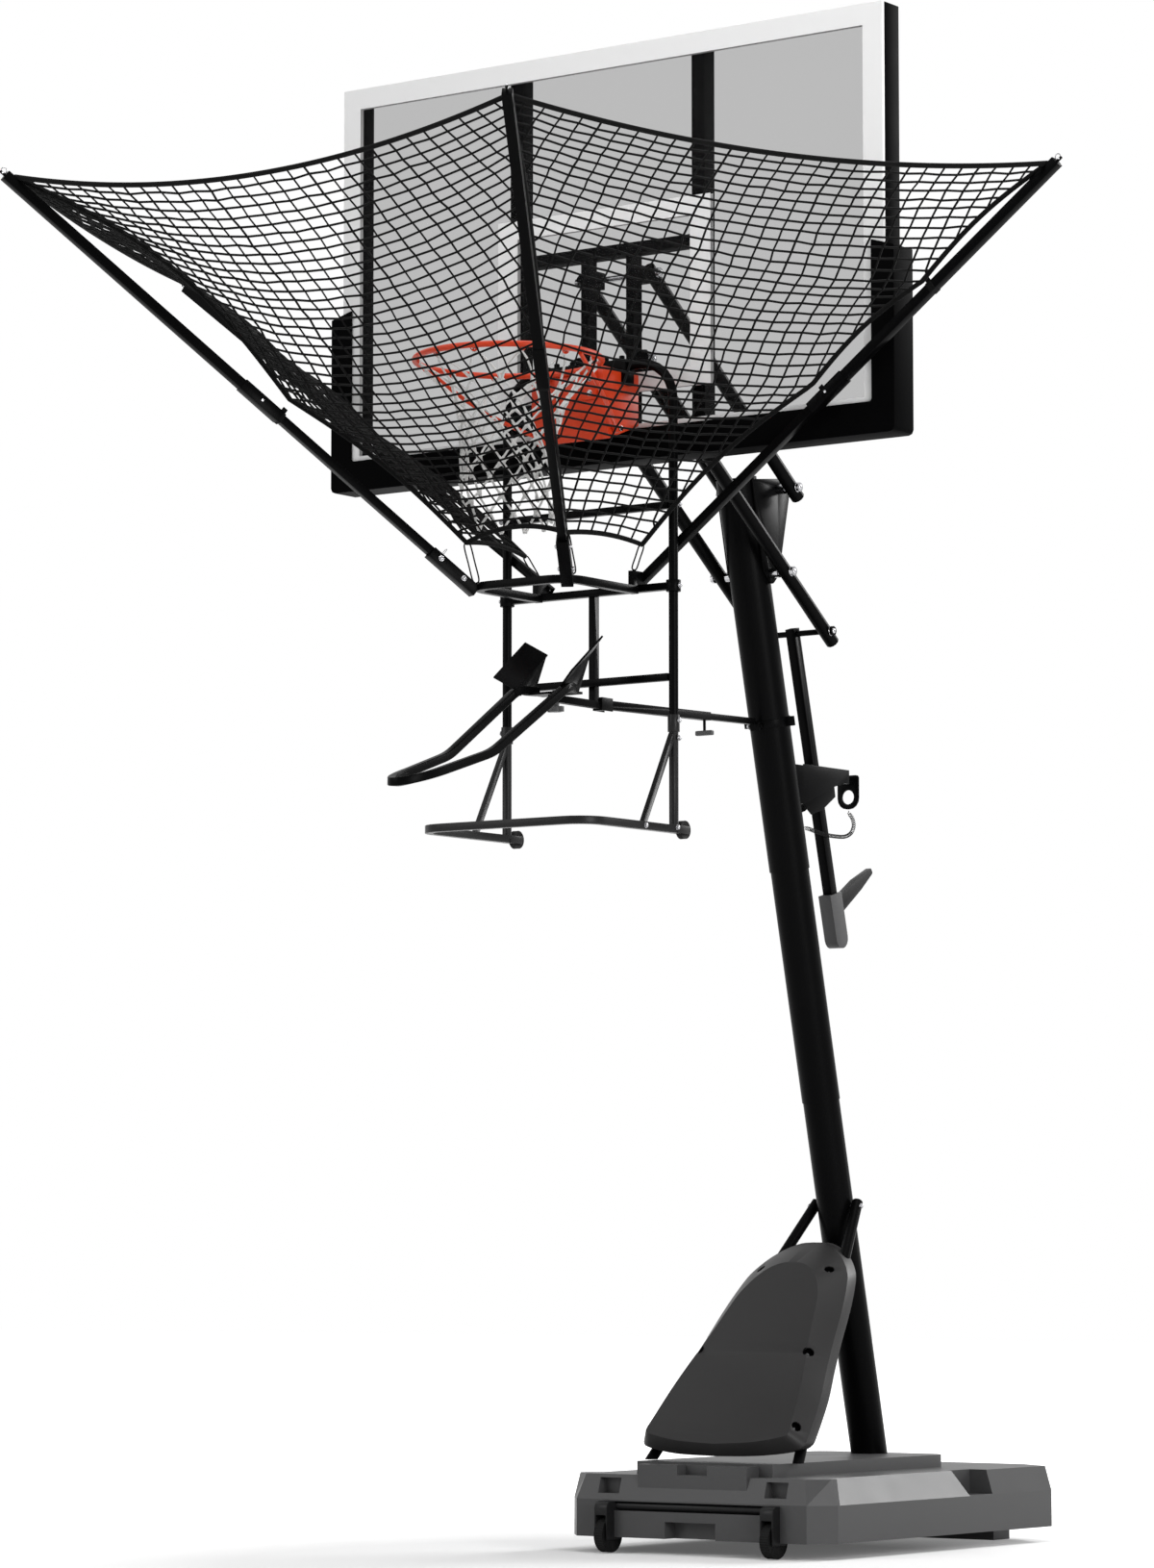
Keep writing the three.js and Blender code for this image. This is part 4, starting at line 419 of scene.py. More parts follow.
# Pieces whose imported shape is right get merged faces, soft edges and their finish
dressing = [  # finish, width of the soft edge and its segments, the angle that makes an edge, nodes
    ("tankPlastic", 6.0, 3, 12, "base_tank"), ("powderGrey", 0.8, 2, 40, "wheel_carrier"),
    ("powderBlack", 0.0, 1, 45, "strut_left strut_right"),
    ("powderBlack", 0.0, 1, 30, "pole_lower pole_middle pole_upper"),
    ("powderBlack", 0.8, 2, 35, "pole_clamp"), ("powderBlack", 1.2, 2, 35, "head_plate_left head_plate_right"),
    ("boltChrome", 0.0, 1, 50, "lower_rear_bolt upper_rear_bolt lower_front_bolt upper_front_bolt"),
    ("powderBlack", 0.0, 1, 50, "lift_cross_bolt lower_arm_left lower_arm_right upper_arm_left upper_arm_right"),
    ("powderBlack", 1.6, 2, 40, "lift_rod upper_crossbar mid_crossbar"),
    ("gripPlastic", 8.0, 4, 40, "lift_handle"), ("powderGrey", 3.0, 3, 40, "lift_trigger"),
    ("powderBlack", 1.6, 2, 35, "lift_guide lock_plate"), ("boltChrome", 0.6, 2, 50, "lock_pin"),
    ("boardBlack", 1.5, 2, 40, "board_frame"), ("padRubberAndSeatShade", 9.0, 4, 35, "edge_pad"),
    ("rimOrange", 2.2, 3, 35, "rim_housing"), ("boltChrome", 0.5, 2, 50, "rim_hinge_pin"),
    ("powderBlack", 0.0, 1, 55, "hook_upright_left hook_upright_right"),
    ("powderBlack", 3.0, 3, 40, "hook_clamp_left hook_clamp_right"),
    ("powderBlack", 1.2, 2, 50, "net_crossbar"), ("powderBlack", 1.3, 2, 40, "net_base_frame"),
    ("powderBlack", 1.4, 2, 45, "net_pole_front_left net_pole_front_right net_pole_rear_left net_pole_rear_right"),
    ("powderBlack", 1.0, 2, 55, "chute_fork"), ("gripPlastic", 1.0, 2, 50, "chute_knob"),
    ("powderGrey", 1.2, 2, 50, "lower_frame"), ("powderBlack", 1.4, 2, 40, "strap_outer_tube"),
    ("powderBlack", 1.2, 2, 40, "strap_inner_tube"), ("powderBlack", 0.8, 2, 50, "strap_screw"),
    ("boardPane", 1.0, 2, 35, "board_glass"),
]
crispNodes = ("base_tank",)  # their broad faces stay flat beside the rounded edges
weld = {"distance": 0.00002, "angle": 0.6}


def dress(node, look, edge, segments, angle):
    piece = bpy.data.objects.new(node + "_look", nodes[node].data.copy())
    bpy.context.scene.collection.objects.link(piece)
    onlySelect(piece)
    bpy.ops.mesh.customdata_custom_splitnormals_clear()
    editAll()
    bpy.ops.mesh.remove_doubles(threshold=weld["distance"])
    bpy.ops.mesh.dissolve_limited(angle_limit=math.radians(weld["angle"]))
    objectMode()
    crisp = node in crispNodes
    if edge:
        bevelled(piece, edge * mm, segments, angle, crisp)
    if not crisp:
        smooth(piece, angle)
    place(piece, node + "_look", look, node, node)


for look, edge, segments, angle, members in dressing:
    for node in members.split():
        dress(node, look, edge, segments, angle)
print("pieces dressed")


# Nut with a washer and a round end, made once along Z for a radius of 1, and copied
nutSet = {"depth": 0.62, "lift": 0.45, "edge": 0.09, "washer": 1.22, "washerDepth": 0.16, "washerEdge": 0.04,
          "tip": 0.7, "tipLift": 0.74, "tipRise": 0.62}


def makeNut():
    bpy.ops.mesh.primitive_cylinder_add(vertices=6, radius=1, depth=nutSet["depth"], location=(0, 0, nutSet["lift"]))
    hexagon = bevelled(settle(bpy.context.object), nutSet["edge"], 2, 40)
    bpy.ops.mesh.primitive_cylinder_add(vertices=28, radius=nutSet["washer"], depth=nutSet["washerDepth"],
                                        location=(0, 0, nutSet["washerDepth"] / 2))
    washer = bevelled(settle(bpy.context.object), nutSet["washerEdge"], 1, 40)
    bpy.ops.mesh.primitive_uv_sphere_add(segments=20, ring_count=10, radius=nutSet["tip"],
                                         location=(0, 0, nutSet["tipLift"]), scale=(1, 1, nutSet["tipRise"]))
    nut = joined([hexagon, washer, settle(bpy.context.object)])
    smooth(nut, 40)
    return nut


nutModel = makeNut()


def nutAt(spot, outward, radius):
    turn = outward.to_track_quat("Z", "Y").to_matrix().to_4x4()
    return copyOf(nutModel, Matrix.Translation(spot) @ turn @ Matrix.Scale(radius * mm, 4))


def makeNuts(name, node, places, radius):
    pieces = [nutAt(spot, outward, radius) for spot, outward in places]
    place(joined(pieces), name, "boltChrome", node)


pivotNut = {"radius": 11, "inset": 9.5}
strutBolt = {"reach": 86, "radius": 5.5, "edge": 0.8, "nut": 6.5, "nutShare": 0.96}


def endNuts(node):  # a nut on each end of a cross bolt
    low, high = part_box(node)
    middle = (low + high) / 2
    inset = pivotNut["inset"] * mm
    ends = [(Vector((high.x - inset, middle.y, middle.z)), Vector((1, 0, 0))),
            (Vector((low.x + inset, middle.y, middle.z)), Vector((-1, 0, 0)))]
    makeNuts(node + "_nuts", node, ends, pivotNut["radius"])


def makeStrutBolt():
    low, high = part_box("strut_bolt")
    middle = (low + high) / 2
    reach = Vector((strutBolt["reach"] * mm, 0, 0))
    bolt = cylinder(middle - reach, middle + reach, strutBolt["radius"] * mm, 20, strutBolt["edge"] * mm)
    place(bolt, "strut_bolt_look", "boltChrome", "strut_bolt", "strut_bolt")
    ends = [(middle + reach * side * strutBolt["nutShare"], Vector((side, 0, 0))) for side in (-1, 1)]
    makeNuts("strut_bolt_nuts", "strut_bolt", ends, strutBolt["nut"])


for node in ("lower_rear_bolt", "upper_rear_bolt", "lower_front_bolt", "upper_front_bolt", "lift_cross_bolt"):
    endNuts(node)
makeStrutBolt()
print("nuts placed")

# Return net: square cells cut to a funnel, with ropes along the edges
netSet = {
    "frontStart": (152, -367, 2477), "frontTip": (771, -1456, 3431),
    "rearStart": (152, -35, 2508), "rearTip": (1389, -35, 3441),
    "hemFront": (156, -380, 2590), "hemRear": (186, -88, 2590), "lift": 15.3, "frontLift": 14.2, "setback": 22,
    "across": 51, "down": 33.5, "strand": 2.9, "rope": 6.6, "jitter": 2.2, "edge": 0.15, "ropeSteps": 60,
    "frontTies": [0.4], "rearTies": [0.43, 0.7],
    "front": {"sag": 90, "belly": 26, "hemBow": 28, "bows": ((22, 76), (22, 76)), "fade": 3},
    "left": {"sag": 20, "belly": -8, "hemBow": 12, "bows": ((22, 76), (16, 16, 16)), "fade": 1},
    "right": {"sag": 60, "belly": 8, "hemBow": 12, "bows": ((22, 76), (30, 20, 20)), "fade": 1},
}
hemTie = {"front": (152, -342, 2490), "frontSpread": 8, "rear": (152, -77, 2529), "rearSpread": 6, "cord": 2,
          "facing": (-0.58, 0.81, 0), "shape": [(0.08, 1), (0.5, 1.05), (0.92, 1)]}
random.seed(11)


def poleLine(start, tip):
    start, tip = at(*start), at(*tip)
    along = (tip - start).normalized()
    up = (Vector((0, 0, 1)) - along * along.z).normalized()
    return start, tip, along, up


def sided(spot, side):
    return (spot[0] * side, spot[1], spot[2])


def netCorner(name, side, lift):
    start, tip, along, up = poleLine(sided(netSet[name + "Start"], side), sided(netSet[name + "Tip"], side))
    return tip + up * lift * mm - along * netSet["setback"] * mm


def seamBow(hem, top, ties, bows):  # how far the edge rope stands in from its straight line, between its ties
    along = (top - hem).normalized()
    inward = (Vector((0, 0, 1)) - along * along.z).normalized()
    stops = [0.0, *ties, 1.0]

    def offset(v):
        for low, high, bow in zip(stops, stops[1:], bows):
            if v <= high:
                return inward * math.sin(math.pi * (v - low) / (high - low)) * bow * mm
        return inward * 0

    return offset


def netSurface(hems, tops, shape, ties):
    bows = [seamBow(hem, top, tie, bow) for hem, top, tie, bow in zip(hems, tops, ties, shape["bows"])]

    def surface(u, v):
        top = tops[0].lerp(tops[1], u)
        top.z -= 4 * shape["sag"] * mm * u * (1 - u)
        hem = hems[0].lerp(hems[1], u)
        hem.z += 4 * shape["hemBow"] * mm * u * (1 - u)
        spot = hem.lerp(top, v)
        spot.z -= 16 * shape["belly"] * mm * u * (1 - u) * v * (1 - v)
        return spot + bows[0](v) * (1 - u) ** shape["fade"] + bows[1](v) * u ** shape["fade"]

    return surface


def makePanel(name, hems, tops, ties, seams):
    surface = netSurface(hems, tops, netSet[name], ties)
    down = (tops[0] + tops[1]) / 2 - (hems[0] + hems[1]) / 2
    rows = round(down.length / (netSet["down"] * mm))
    width = [(surface(1, row / rows) - surface(0, row / rows)).length for row in range(rows + 1)]
    across = netSet["across"] * mm
    limit = int(width[rows] / 2 / across) + 1
    columns = range(-limit, limit + 1)
    shift = {}

    def fits(column, row):
        return abs(column * across) < width[row] / 2 - across * netSet["edge"]

    def knot(column, row):
        u = 0.5 + column * across / width[row]
        if row in (0, rows):
            return surface(u, row / rows)
        if (column, row) not in shift:
            shift[column, row] = Vector([random.uniform(-1, 1) * netSet["jitter"] * mm for _ in range(3)])
        return surface(u, row / rows) + shift[column, row]

    lines = []
    for row in range(1, rows):
        inner = [knot(column, row) for column in columns if fits(column, row)]
        lines.append([surface(0, row / rows), *inner, surface(1, row / rows)])
    for column in columns:
        line = []
        for row in range(rows + 1):
            if fits(column, row):
                line.append(knot(column, row))
            elif row < rows and fits(column, row + 1):
                line.append(surface(0 if column < 0 else 1, (row + 0.5) / rows))
        if len(line) > 1:
            lines.append(line)
    mesh = meshed(tubes(name + "_cells", lines, netSet["strand"] * mm, 0))
    fine = [step / netSet["ropeSteps"] for step in range(netSet["ropeSteps"] + 1)]
    ropes = [[surface(u, 1) for u in fine], [surface(u, 0) for u in fine]]
    ropes += [[surface(end, v) for v in fine] for end, own in zip((0, 1), seams) if own]
    rope = meshed(tubes(name + "_ropes", ropes, netSet["rope"] * mm, 2))
    return [mesh, rope]


def ropeLoop(first, second, spread):  # a doubled cord held between two points
    side = (second - first).normalized().cross(Vector(hemTie["facing"])).normalized() * spread * mm
    out = [first.lerp(second, share) + side * wide for share, wide in hemTie["shape"]]
    back = [first.lerp(second, share) - side * wide for share, wide in reversed(hemTie["shape"])]
    line = curveThrough([first, *out, second, *back, first], 5)[:-1]
    return meshed(tubes("loop", [line], hemTie["cord"] * mm, 1, closed=True))


def makeNets():
    corner = {side: {"hemFront": at(*sided(netSet["hemFront"], side)), "hemRear": at(*sided(netSet["hemRear"], side)),
                     "front": netCorner("front", side, netSet["frontLift"]),
                     "rear": netCorner("rear", side, netSet["lift"])} for side in (-1, 1)}
    left, right = corner[-1], corner[1]
    pieces = makePanel("front", (left["hemFront"], right["hemFront"]), (left["front"], right["front"]),
                       (netSet["frontTies"], netSet["frontTies"]), (True, True))
    place(joined(pieces), "net_front_mesh", "blackCord", "net_front_panel", "net_front_panel", slot="net_black")
    for side, name in ((-1, "left"), (1, "right")):
        here = corner[side]
        pieces = makePanel(name, (here["hemFront"], here["hemRear"]), (here["front"], here["rear"]),
                           (netSet["frontTies"], netSet["rearTies"]), (False, True))
        pieces.append(ropeLoop(here["hemFront"], at(*sided(hemTie["front"], side)), hemTie["frontSpread"]))
        pieces.append(ropeLoop(here["hemRear"], at(*sided(hemTie["rear"], side)), hemTie["rearSpread"]))
        node = f"net_{name}_panel"
        place(joined(pieces), f"net_{name}_mesh", "blackCord", node, node, slot="net_black")
    print("return net made")


makeNets()

# Hoop net: twelve pairs of cords that cross in knots
hoopSet = {"centreY": -412, "top": 3024.6, "bottom": 2606, "cords": 12, "strand": 3.0, "knot": 2.0, "steps": 4,
           "rest": 20, "levels": [0, 0.2, 0.31, 0.42, 0.53, 0.64, 0.75, 0.86, 0.98], "bulge": 4, "wander": 3.0,
           "curve": 0.9, "loopWide": 5, "loopHigh": 6, "loopLift": 4, "loopSteps": 10, "loopStrand": 0.8,
           "profile": [(0, 226), (0.12, 178), (0.25, 138), (0.4, 121), (0.6, 117), (1.0, 118)]}  # radius at each depth


def hoopSpot(angle, share, swell=0.0):
    for (low, wide), (high, narrow) in zip(hoopSet["profile"], hoopSet["profile"][1:]):
        if share <= high:
            break
    radius = wide + (narrow - wide) * min(1.0, (share - low) / (high - low)) + swell
    y = hoopSet["centreY"] + radius * math.sin(angle)
    hem, tip = netSet["hemFront"], netSet["frontTip"]
    slope = (tip[2] - hem[2]) / (hem[1] - tip[1])
    foot = max(hoopSet["bottom"], hem[2] + (hem[1] - y) * slope + hoopSet["rest"])  # it lies on the return net
    return at(radius * math.cos(angle), y, hoopSet["top"] - share * (hoopSet["top"] - foot))


def makeHoopNet():
    lines, thick = [], []
    levels, steps = hoopSet["levels"], hoopSet["steps"]
    half = math.pi / hoopSet["cords"]
    wander = random.Random(5)
    shift = {}
    for cord in range(hoopSet["cords"]):
        for turn in (-1, 1):
            line, sizes = [], []
            for level in range(len(levels) - 1):
                for step in range(steps if level < len(levels) - 2 else steps + 1):
                    part = step / steps
                    share = levels[level] + (levels[level + 1] - levels[level]) * part
                    position = round((1 + 2 * cord + turn * (level + part)) * steps)
                    key = (position % (2 * hoopSet["cords"] * steps), level * steps + step)
                    if key not in shift:
                        shift[key] = wander.uniform(-1, 1)
                    swell = hoopSet["bulge"] * math.sin(math.pi * part) + hoopSet["wander"] * shift[key] * (level > 0)
                    angle = half * (1 + 2 * cord) + turn * half * (level + part ** hoopSet["curve"])
                    line.append(hoopSpot(angle, share, swell))
                    sizes.append(hoopSet["knot"] if part in (0, 1) and level + part > 0 else 1.0)
            lines.append(line)
            thick.append(sizes)
    cords = meshed(tubes("hoop_cords", lines, hoopSet["strand"] * mm, 1, thick))
    loops = []
    for cord in range(hoopSet["cords"]):  # a small loop round each hook
        angle = half * (1 + 2 * cord)
        centre = hoopSpot(angle, 0)
        across = Vector((-math.sin(angle), math.cos(angle), 0)) * hoopSet["loopWide"] * mm
        loop = []
        for step in range(hoopSet["loopSteps"]):
            turn = 2 * math.pi * step / hoopSet["loopSteps"]
            rise = (math.sin(turn) * hoopSet["loopHigh"] + hoopSet["loopLift"]) * mm
            loop.append(centre + across * math.cos(turn) + Vector((0, 0, rise)))
        loops.append(loop)
    strand = hoopSet["strand"] * hoopSet["loopStrand"] * mm
    piece = joined([cords, meshed(tubes("hoop_loops", loops, strand, 1, closed=True))])
    smooth(piece, 60)
    place(piece, "hoop_net_cords", "whiteCord", "hoop_net", "hoop_net", slot="net_white")
    ring = tuple(at(0, hoopSet["centreY"], hoopSet["top"]))
    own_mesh(piece)
    print("hoop net made")


makeHoopNet()

# Rim: ring, brace rods, front plate, hinge eyes and net hooks
rimSet = {"radius": 237, "rod": 8, "centreY": -412, "z": 3040, "plateHalf": 96, "plateFront": -168.3,
          "plateRear": -158.6, "plateBottom": 2966, "plateTop": 3044, "plateEdge": 3, "tongueReach": 14,
          "tongueSink": 3, "tongueLow": 6, "tongueHigh": 5, "brace": 5.5, "start": 0.07, "bend": 1.66,
          "pinY": -112, "pinZ": 2892, "eyeX": 124.7, "eyeHalf": 10.4, "eyeRadius": 11, "eyeEdge": 1.2,
          "boltX": 78, "boltY": -167.7, "boltRows": (2982, 3020), "boltRadius": 6.5}
netHook = {"count": 12, "wire": 1.7, "root": 1, "curl": [(-11, -1), (-9, -9), (-3, -14), (3, -12), (4, -7), (0, -5),
                                                        (-3, -8), (1, -14), (8, -11), (11, -1)]}


def makeRim():
    bpy.ops.mesh.primitive_torus_add(major_segments=112, minor_segments=16, major_radius=rimSet["radius"] * mm,
                                     minor_radius=rimSet["rod"] * mm, location=at(0, rimSet["centreY"], rimSet["z"]))
    pieces = [settle(bpy.context.object)]
    half, edge = rimSet["plateHalf"], rimSet["plateEdge"] * mm
    pieces.append(block(at(-half, rimSet["plateFront"], rimSet["plateBottom"]),
                        at(half, rimSet["plateRear"], rimSet["plateTop"]), edge))
    pieces.append(block(at(-half / 2, rimSet["plateFront"] - rimSet["tongueReach"], rimSet["z"] - rimSet["tongueLow"]),
                        at(half / 2, rimSet["plateFront"] + rimSet["tongueSink"], rimSet["z"] + rimSet["tongueHigh"]),
                        edge))
    lines = []
    for side in (-1, 1):
        start = at(side * rimSet["radius"] * math.cos(rimSet["start"]),
                   rimSet["centreY"] - rimSet["radius"] * rimSet["start"], rimSet["z"] - rimSet["rod"])
        end = at(side * rimSet["eyeX"], rimSet["pinY"], rimSet["pinZ"])
        bend = Vector((side * rimSet["eyeX"] * rimSet["bend"] * mm, (start.y + end.y) / 2, (start.z + end.z * 2) / 3))
        lines.append(rounded(start, bend, end, 20))
        inner, outer = side * (rimSet["eyeX"] - rimSet["eyeHalf"]), side * (rimSet["eyeX"] + rimSet["eyeHalf"])
        pieces.append(cylinder(at(inner, rimSet["pinY"], rimSet["pinZ"]), at(outer, rimSet["pinY"], rimSet["pinZ"]),
                               rimSet["eyeRadius"] * mm, 28, rimSet["eyeEdge"] * mm))
    pieces.append(meshed(tubes("rim_braces", lines, rimSet["brace"] * mm, 4)))
    hooks = []
    for index in range(netHook["count"]):  # a curled wire under the ring for each loop of the net
        angle = math.pi / netHook["count"] + 2 * math.pi * index / netHook["count"]
        outward = Vector((math.cos(angle), math.sin(angle), 0))
        across = Vector((-math.sin(angle), math.cos(angle), 0))
        inside = rimSet["radius"] - rimSet["rod"] + netHook["root"]
        root = at(0, rimSet["centreY"], rimSet["z"]) + outward * inside * mm
        hooks.append(curveThrough([root + across * a * mm + Vector((0, 0, b * mm)) for a, b in netHook["curl"]], 4))
    pieces.append(meshed(tubes("rim_hooks", hooks, netHook["wire"] * mm, 1)))
    rim = joined(pieces)
    smooth(rim, 45)
    place(rim, "rim_ring_look", "rimOrange", "rim_ring", "rim_ring")
    spots = [(at(side * rimSet["boltX"], rimSet["boltY"], z), Vector((0, -1, 0)))
             for side in (-1, 1) for z in rimSet["boltRows"]]
    makeNuts("rim_plate_bolts", "rim_ring", spots, rimSet["boltRadius"])
    print("rim made")


makeRim()

# Wheels: ribbed tyre, dished sides, spokes and hub, in shares of the radius and of the width
wheelSizes = {"base_wheel": (48, 30, 44, 8), "frame_wheel": (24.5, 17, 32, 5)}  # radius, width, ribs, spokes
wheelShare = {"tread": 0.2, "lip": 0.06, "dish": 0.2, "disc": 0.36, "hubLip": 0.03, "hub": 0.16, "groove": 0.02,
              "grooveDepth": 0.035, "spoke": 0.045, "spokeFrom": 0.3, "spokeTo": 0.78, "spokeHalf": 0.42,
              "nut": 0.14, "nutReach": 0.35}
wheelEdge = 0.6


def selectFaces(piece, chosen):  # leaves the piece in edit mode
    editAll()
    bpy.ops.mesh.select_all(action="DESELECT")
    objectMode()
    for face in piece.data.polygons:
        face.select = chosen(face)
    bpy.ops.object.mode_set(mode="EDIT")


def makeWheel(node, radius, width, ribs, spokes):
    low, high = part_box(node)
    centre = (low + high) / 2
    radius, width = radius * mm, width * mm
    bpy.ops.mesh.primitive_cylinder_add(vertices=ribs, radius=radius, depth=width, rotation=(0, math.pi / 2, 0),
                                        location=centre)
    tyre = settle(bpy.context.object)
    selectFaces(tyre, lambda face: abs(face.normal.x) > 0.9)
    bpy.ops.mesh.inset(thickness=radius * wheelShare["tread"], depth=0)
    bpy.ops.mesh.inset(thickness=radius * wheelShare["lip"], depth=-width * wheelShare["dish"])
    bpy.ops.mesh.inset(thickness=radius * wheelShare["disc"], depth=0)
    bpy.ops.mesh.inset(thickness=radius * wheelShare["hubLip"], depth=width * wheelShare["hub"])
    selectFaces(tyre, lambda face: abs(face.normal.x) < 0.1 and (face.center - centre).yz.length > radius * 0.9)
    bpy.ops.mesh.inset(thickness=radius * wheelShare["groove"], depth=-radius * wheelShare["grooveDepth"],
                       use_individual=True)
    objectMode()
    bevelled(tyre, wheelEdge * mm, 1, 50)
    pieces = [tyre]
    half, reach = radius * wheelShare["spoke"], width * wheelShare["spokeHalf"]
    for index in range(spokes):
        turn = Matrix.Rotation(2 * math.pi * index / spokes, 4, "X")
        turn = Matrix.Translation(centre) @ turn @ Matrix.Translation(-centre)
        pieces.append(block(centre + Vector((-reach, -half, radius * wheelShare["spokeFrom"])),
                            centre + Vector((reach, half, radius * wheelShare["spokeTo"])), wheelEdge * mm, turn))
    wheel = joined(pieces)
    smooth(wheel, 40)
    place(wheel, node + "_look", "tyreRubber", node, node)
    ends = [(centre + Vector((side * width * wheelShare["nutReach"], 0, 0)), Vector((side, 0, 0))) for side in (-1, 1)]
    makeNuts(node + "_axle_nuts", node, ends, radius / mm * wheelShare["nut"])


for name in ("left", "right"):
    for kind, sizes in wheelSizes.items():
        makeWheel(f"{kind}_{name}", *sizes)
print("wheels made")

# Chute rails: one square tube, bent down each side and round the tip
chuteRail = {"line": [(57, -207, 2217), (80, -262, 2219), (69, -569, 2024), (57, -745, 1969)],
             "tipY": -867, "tipZ": 1932, "half": 10.6, "bend": 30, "tipSteps": 20, "edge": 2.6}


def makeChuteRails():
    right = [at(*spot) for spot in chuteRail["line"]]
    path = [right[0]]
    for before, corner, after in zip(right, right[1:], right[2:]):
        start = corner + (before - corner).normalized() * chuteRail["bend"] * mm
        end = corner + (after - corner).normalized() * chuteRail["bend"] * mm
        path += rounded(start, corner, end, 4)
    path.append(right[-1])
    tip = at(0, chuteRail["tipY"], chuteRail["tipZ"])
    turn = []
    for step in range(1, chuteRail["tipSteps"]):
        angle = math.pi * step / chuteRail["tipSteps"]
        out = right[-1].lerp(tip, math.sin(angle))
        turn.append(Vector((right[-1].x * math.cos(angle), out.y, out.z)))
    left = [Vector((-spot.x, spot.y, spot.z)) for spot in reversed(path)]
    corner = chuteRail["half"] * math.sqrt(2) * mm  # a square of four corners on that radius
    rails = meshed(tubes("rails", [[*path, *turn, *left]], corner, 0, square=True))
    bevelled(rails, chuteRail["edge"] * mm, 3, 60)
    smooth(rails, 40)
    place(rails, "chute_rails", "powderBlack", "chute_fork")
    print("chute rails made")


makeChuteRails()

# Fittings of the net poles: an eye on a pin at the tip, cable ties, a push button, bolts and a ring at the socket
tipEye = {"reach": 9, "rise": 8, "radius": 7, "wire": 1.3, "pin": 3.5, "pinFrom": 4, "pinTo": 10, "pinEdge": 0.8,
          "cross": 2.5, "crossHalf": 4, "crossRise": 1, "crossEdge": 0.6}
cableTie = {"front": (0.42,), "rear": (0.455, 0.71), "half": 14.2, "along": 9, "edge": 2, "arm": 16, "armSink": 2,
            "armHalf": 1.5, "armAlong": 7, "armEdge": 1}
socketBolt = {"shares": (0.02, 0.07), "out": 15.5, "radius": 6, "ring": 9, "ringRise": 24, "wire": 0.9}
button = {"share": 0.46, "out": 14.5, "proud": 3, "radius": 4, "edge": 0.8}


def ringAt(spot, normal, radius, wire):
    bpy.ops.mesh.primitive_torus_add(major_segments=36, minor_segments=8, major_radius=radius * mm,
                                     minor_radius=wire * mm, location=spot,
                                     rotation=normal.to_track_quat("Z", "Y").to_euler())
    return settle(bpy.context.object)


def makePoleFittings(which, side, name):
    start, tip, along, up = poleLine(sided(netSet[which + "Start"], side), sided(netSet[which + "Tip"], side))
    length = (tip - start).length
    level = along.cross(up)
    node = f"net_pole_{which}_{name}"
    eye = tip + along * tipEye["reach"] * mm
    cross = level * tipEye["crossHalf"] * mm
    parts = [ringAt(eye + up * tipEye["rise"] * mm, level, tipEye["radius"], tipEye["wire"]),
             cylinder(tip - along * tipEye["pinFrom"] * mm, tip + along * tipEye["pinTo"] * mm, tipEye["pin"] * mm,
                      14, tipEye["pinEdge"] * mm),
             cylinder(eye - cross, eye + up * tipEye["crossRise"] * mm + cross, tipEye["cross"] * mm, 12,
                      tipEye["crossEdge"] * mm)]
    smooth(place(joined(parts), node + "_eye", "boltChrome", node, slot="bolt_chrome"), 45)
    bands = []
    half = cableTie["half"]
    band = Vector((half, half, cableTie["along"])) * mm
    for share in cableTie[which]:
        turn = Matrix((level, up, along)).transposed().to_4x4()
        turn.translation = start + along * length * share
        bands.append(block(-band, band, cableTie["edge"] * mm, turn))
        bands.append(block(Vector((-cableTie["armHalf"], half - cableTie["armSink"], -cableTie["armAlong"])) * mm,
                           Vector((cableTie["armHalf"], half + cableTie["arm"], cableTie["armAlong"])) * mm,
                           cableTie["armEdge"] * mm, turn))
    place(joined(bands), node + "_ties", "blackCord", node, slot="net_black")
    if which == "front":
        out = socketBolt["out"] * mm
        bolts = [nutAt(start + along * share * length + level * out * turn, level * turn, socketBolt["radius"])
                 for share in socketBolt["shares"] for turn in (-1, 1)]
        ring = start + along * socketBolt["shares"][1] * length + up * socketBolt["ringRise"] * mm
        bolts.append(ringAt(ring, along, socketBolt["ring"], socketBolt["wire"]))
        place(joined(bolts), node + "_socket_bolts", "boltChrome", "net_base_frame", slot="bolt_chrome")
    spot = start + along * length * button["share"] + level * button["out"] * mm * side
    piece = cylinder(spot, spot + level * side * button["proud"] * mm, button["radius"] * mm, 16, button["edge"] * mm)
    place(piece, node + "_button", "boltChrome", node, slot="bolt_chrome")


for side, name in ((-1, "left"), (1, "right")):
    for which in ("front", "rear"):
        makePoleFittings(which, side, name)

# Bolts of the tube frame, flanges of the pole clamp, grip of the strap screw
frameBolt = {"radius": 6, "spots": [(281, -60, 2135), (281, -60, 2090), (275, -200, 1858), (283.5, -60, 2481),
                                    (283.5, -60, 2690), (275, -60, 1862)]}
clamp = {"place": (0, 776.2, 2218.4), "lean": 13.7, "inner": 55, "outer": 80, "split": 1.5, "plate": 3, "half": 13,
         "edge": 1, "bolt": 6.5, "nut": 3.8}
screwGrip = {"half": (26.5, 7.5, 6.5), "rise": 6, "edge": 3}


def makeFrameBolts():
    spots = [(at(*sided(spot, side)), Vector((side, 0, 0))) for side in (-1, 1) for spot in frameBolt["spots"]]
    makeNuts("frame_bolts", "lower_frame", spots, frameBolt["radius"])


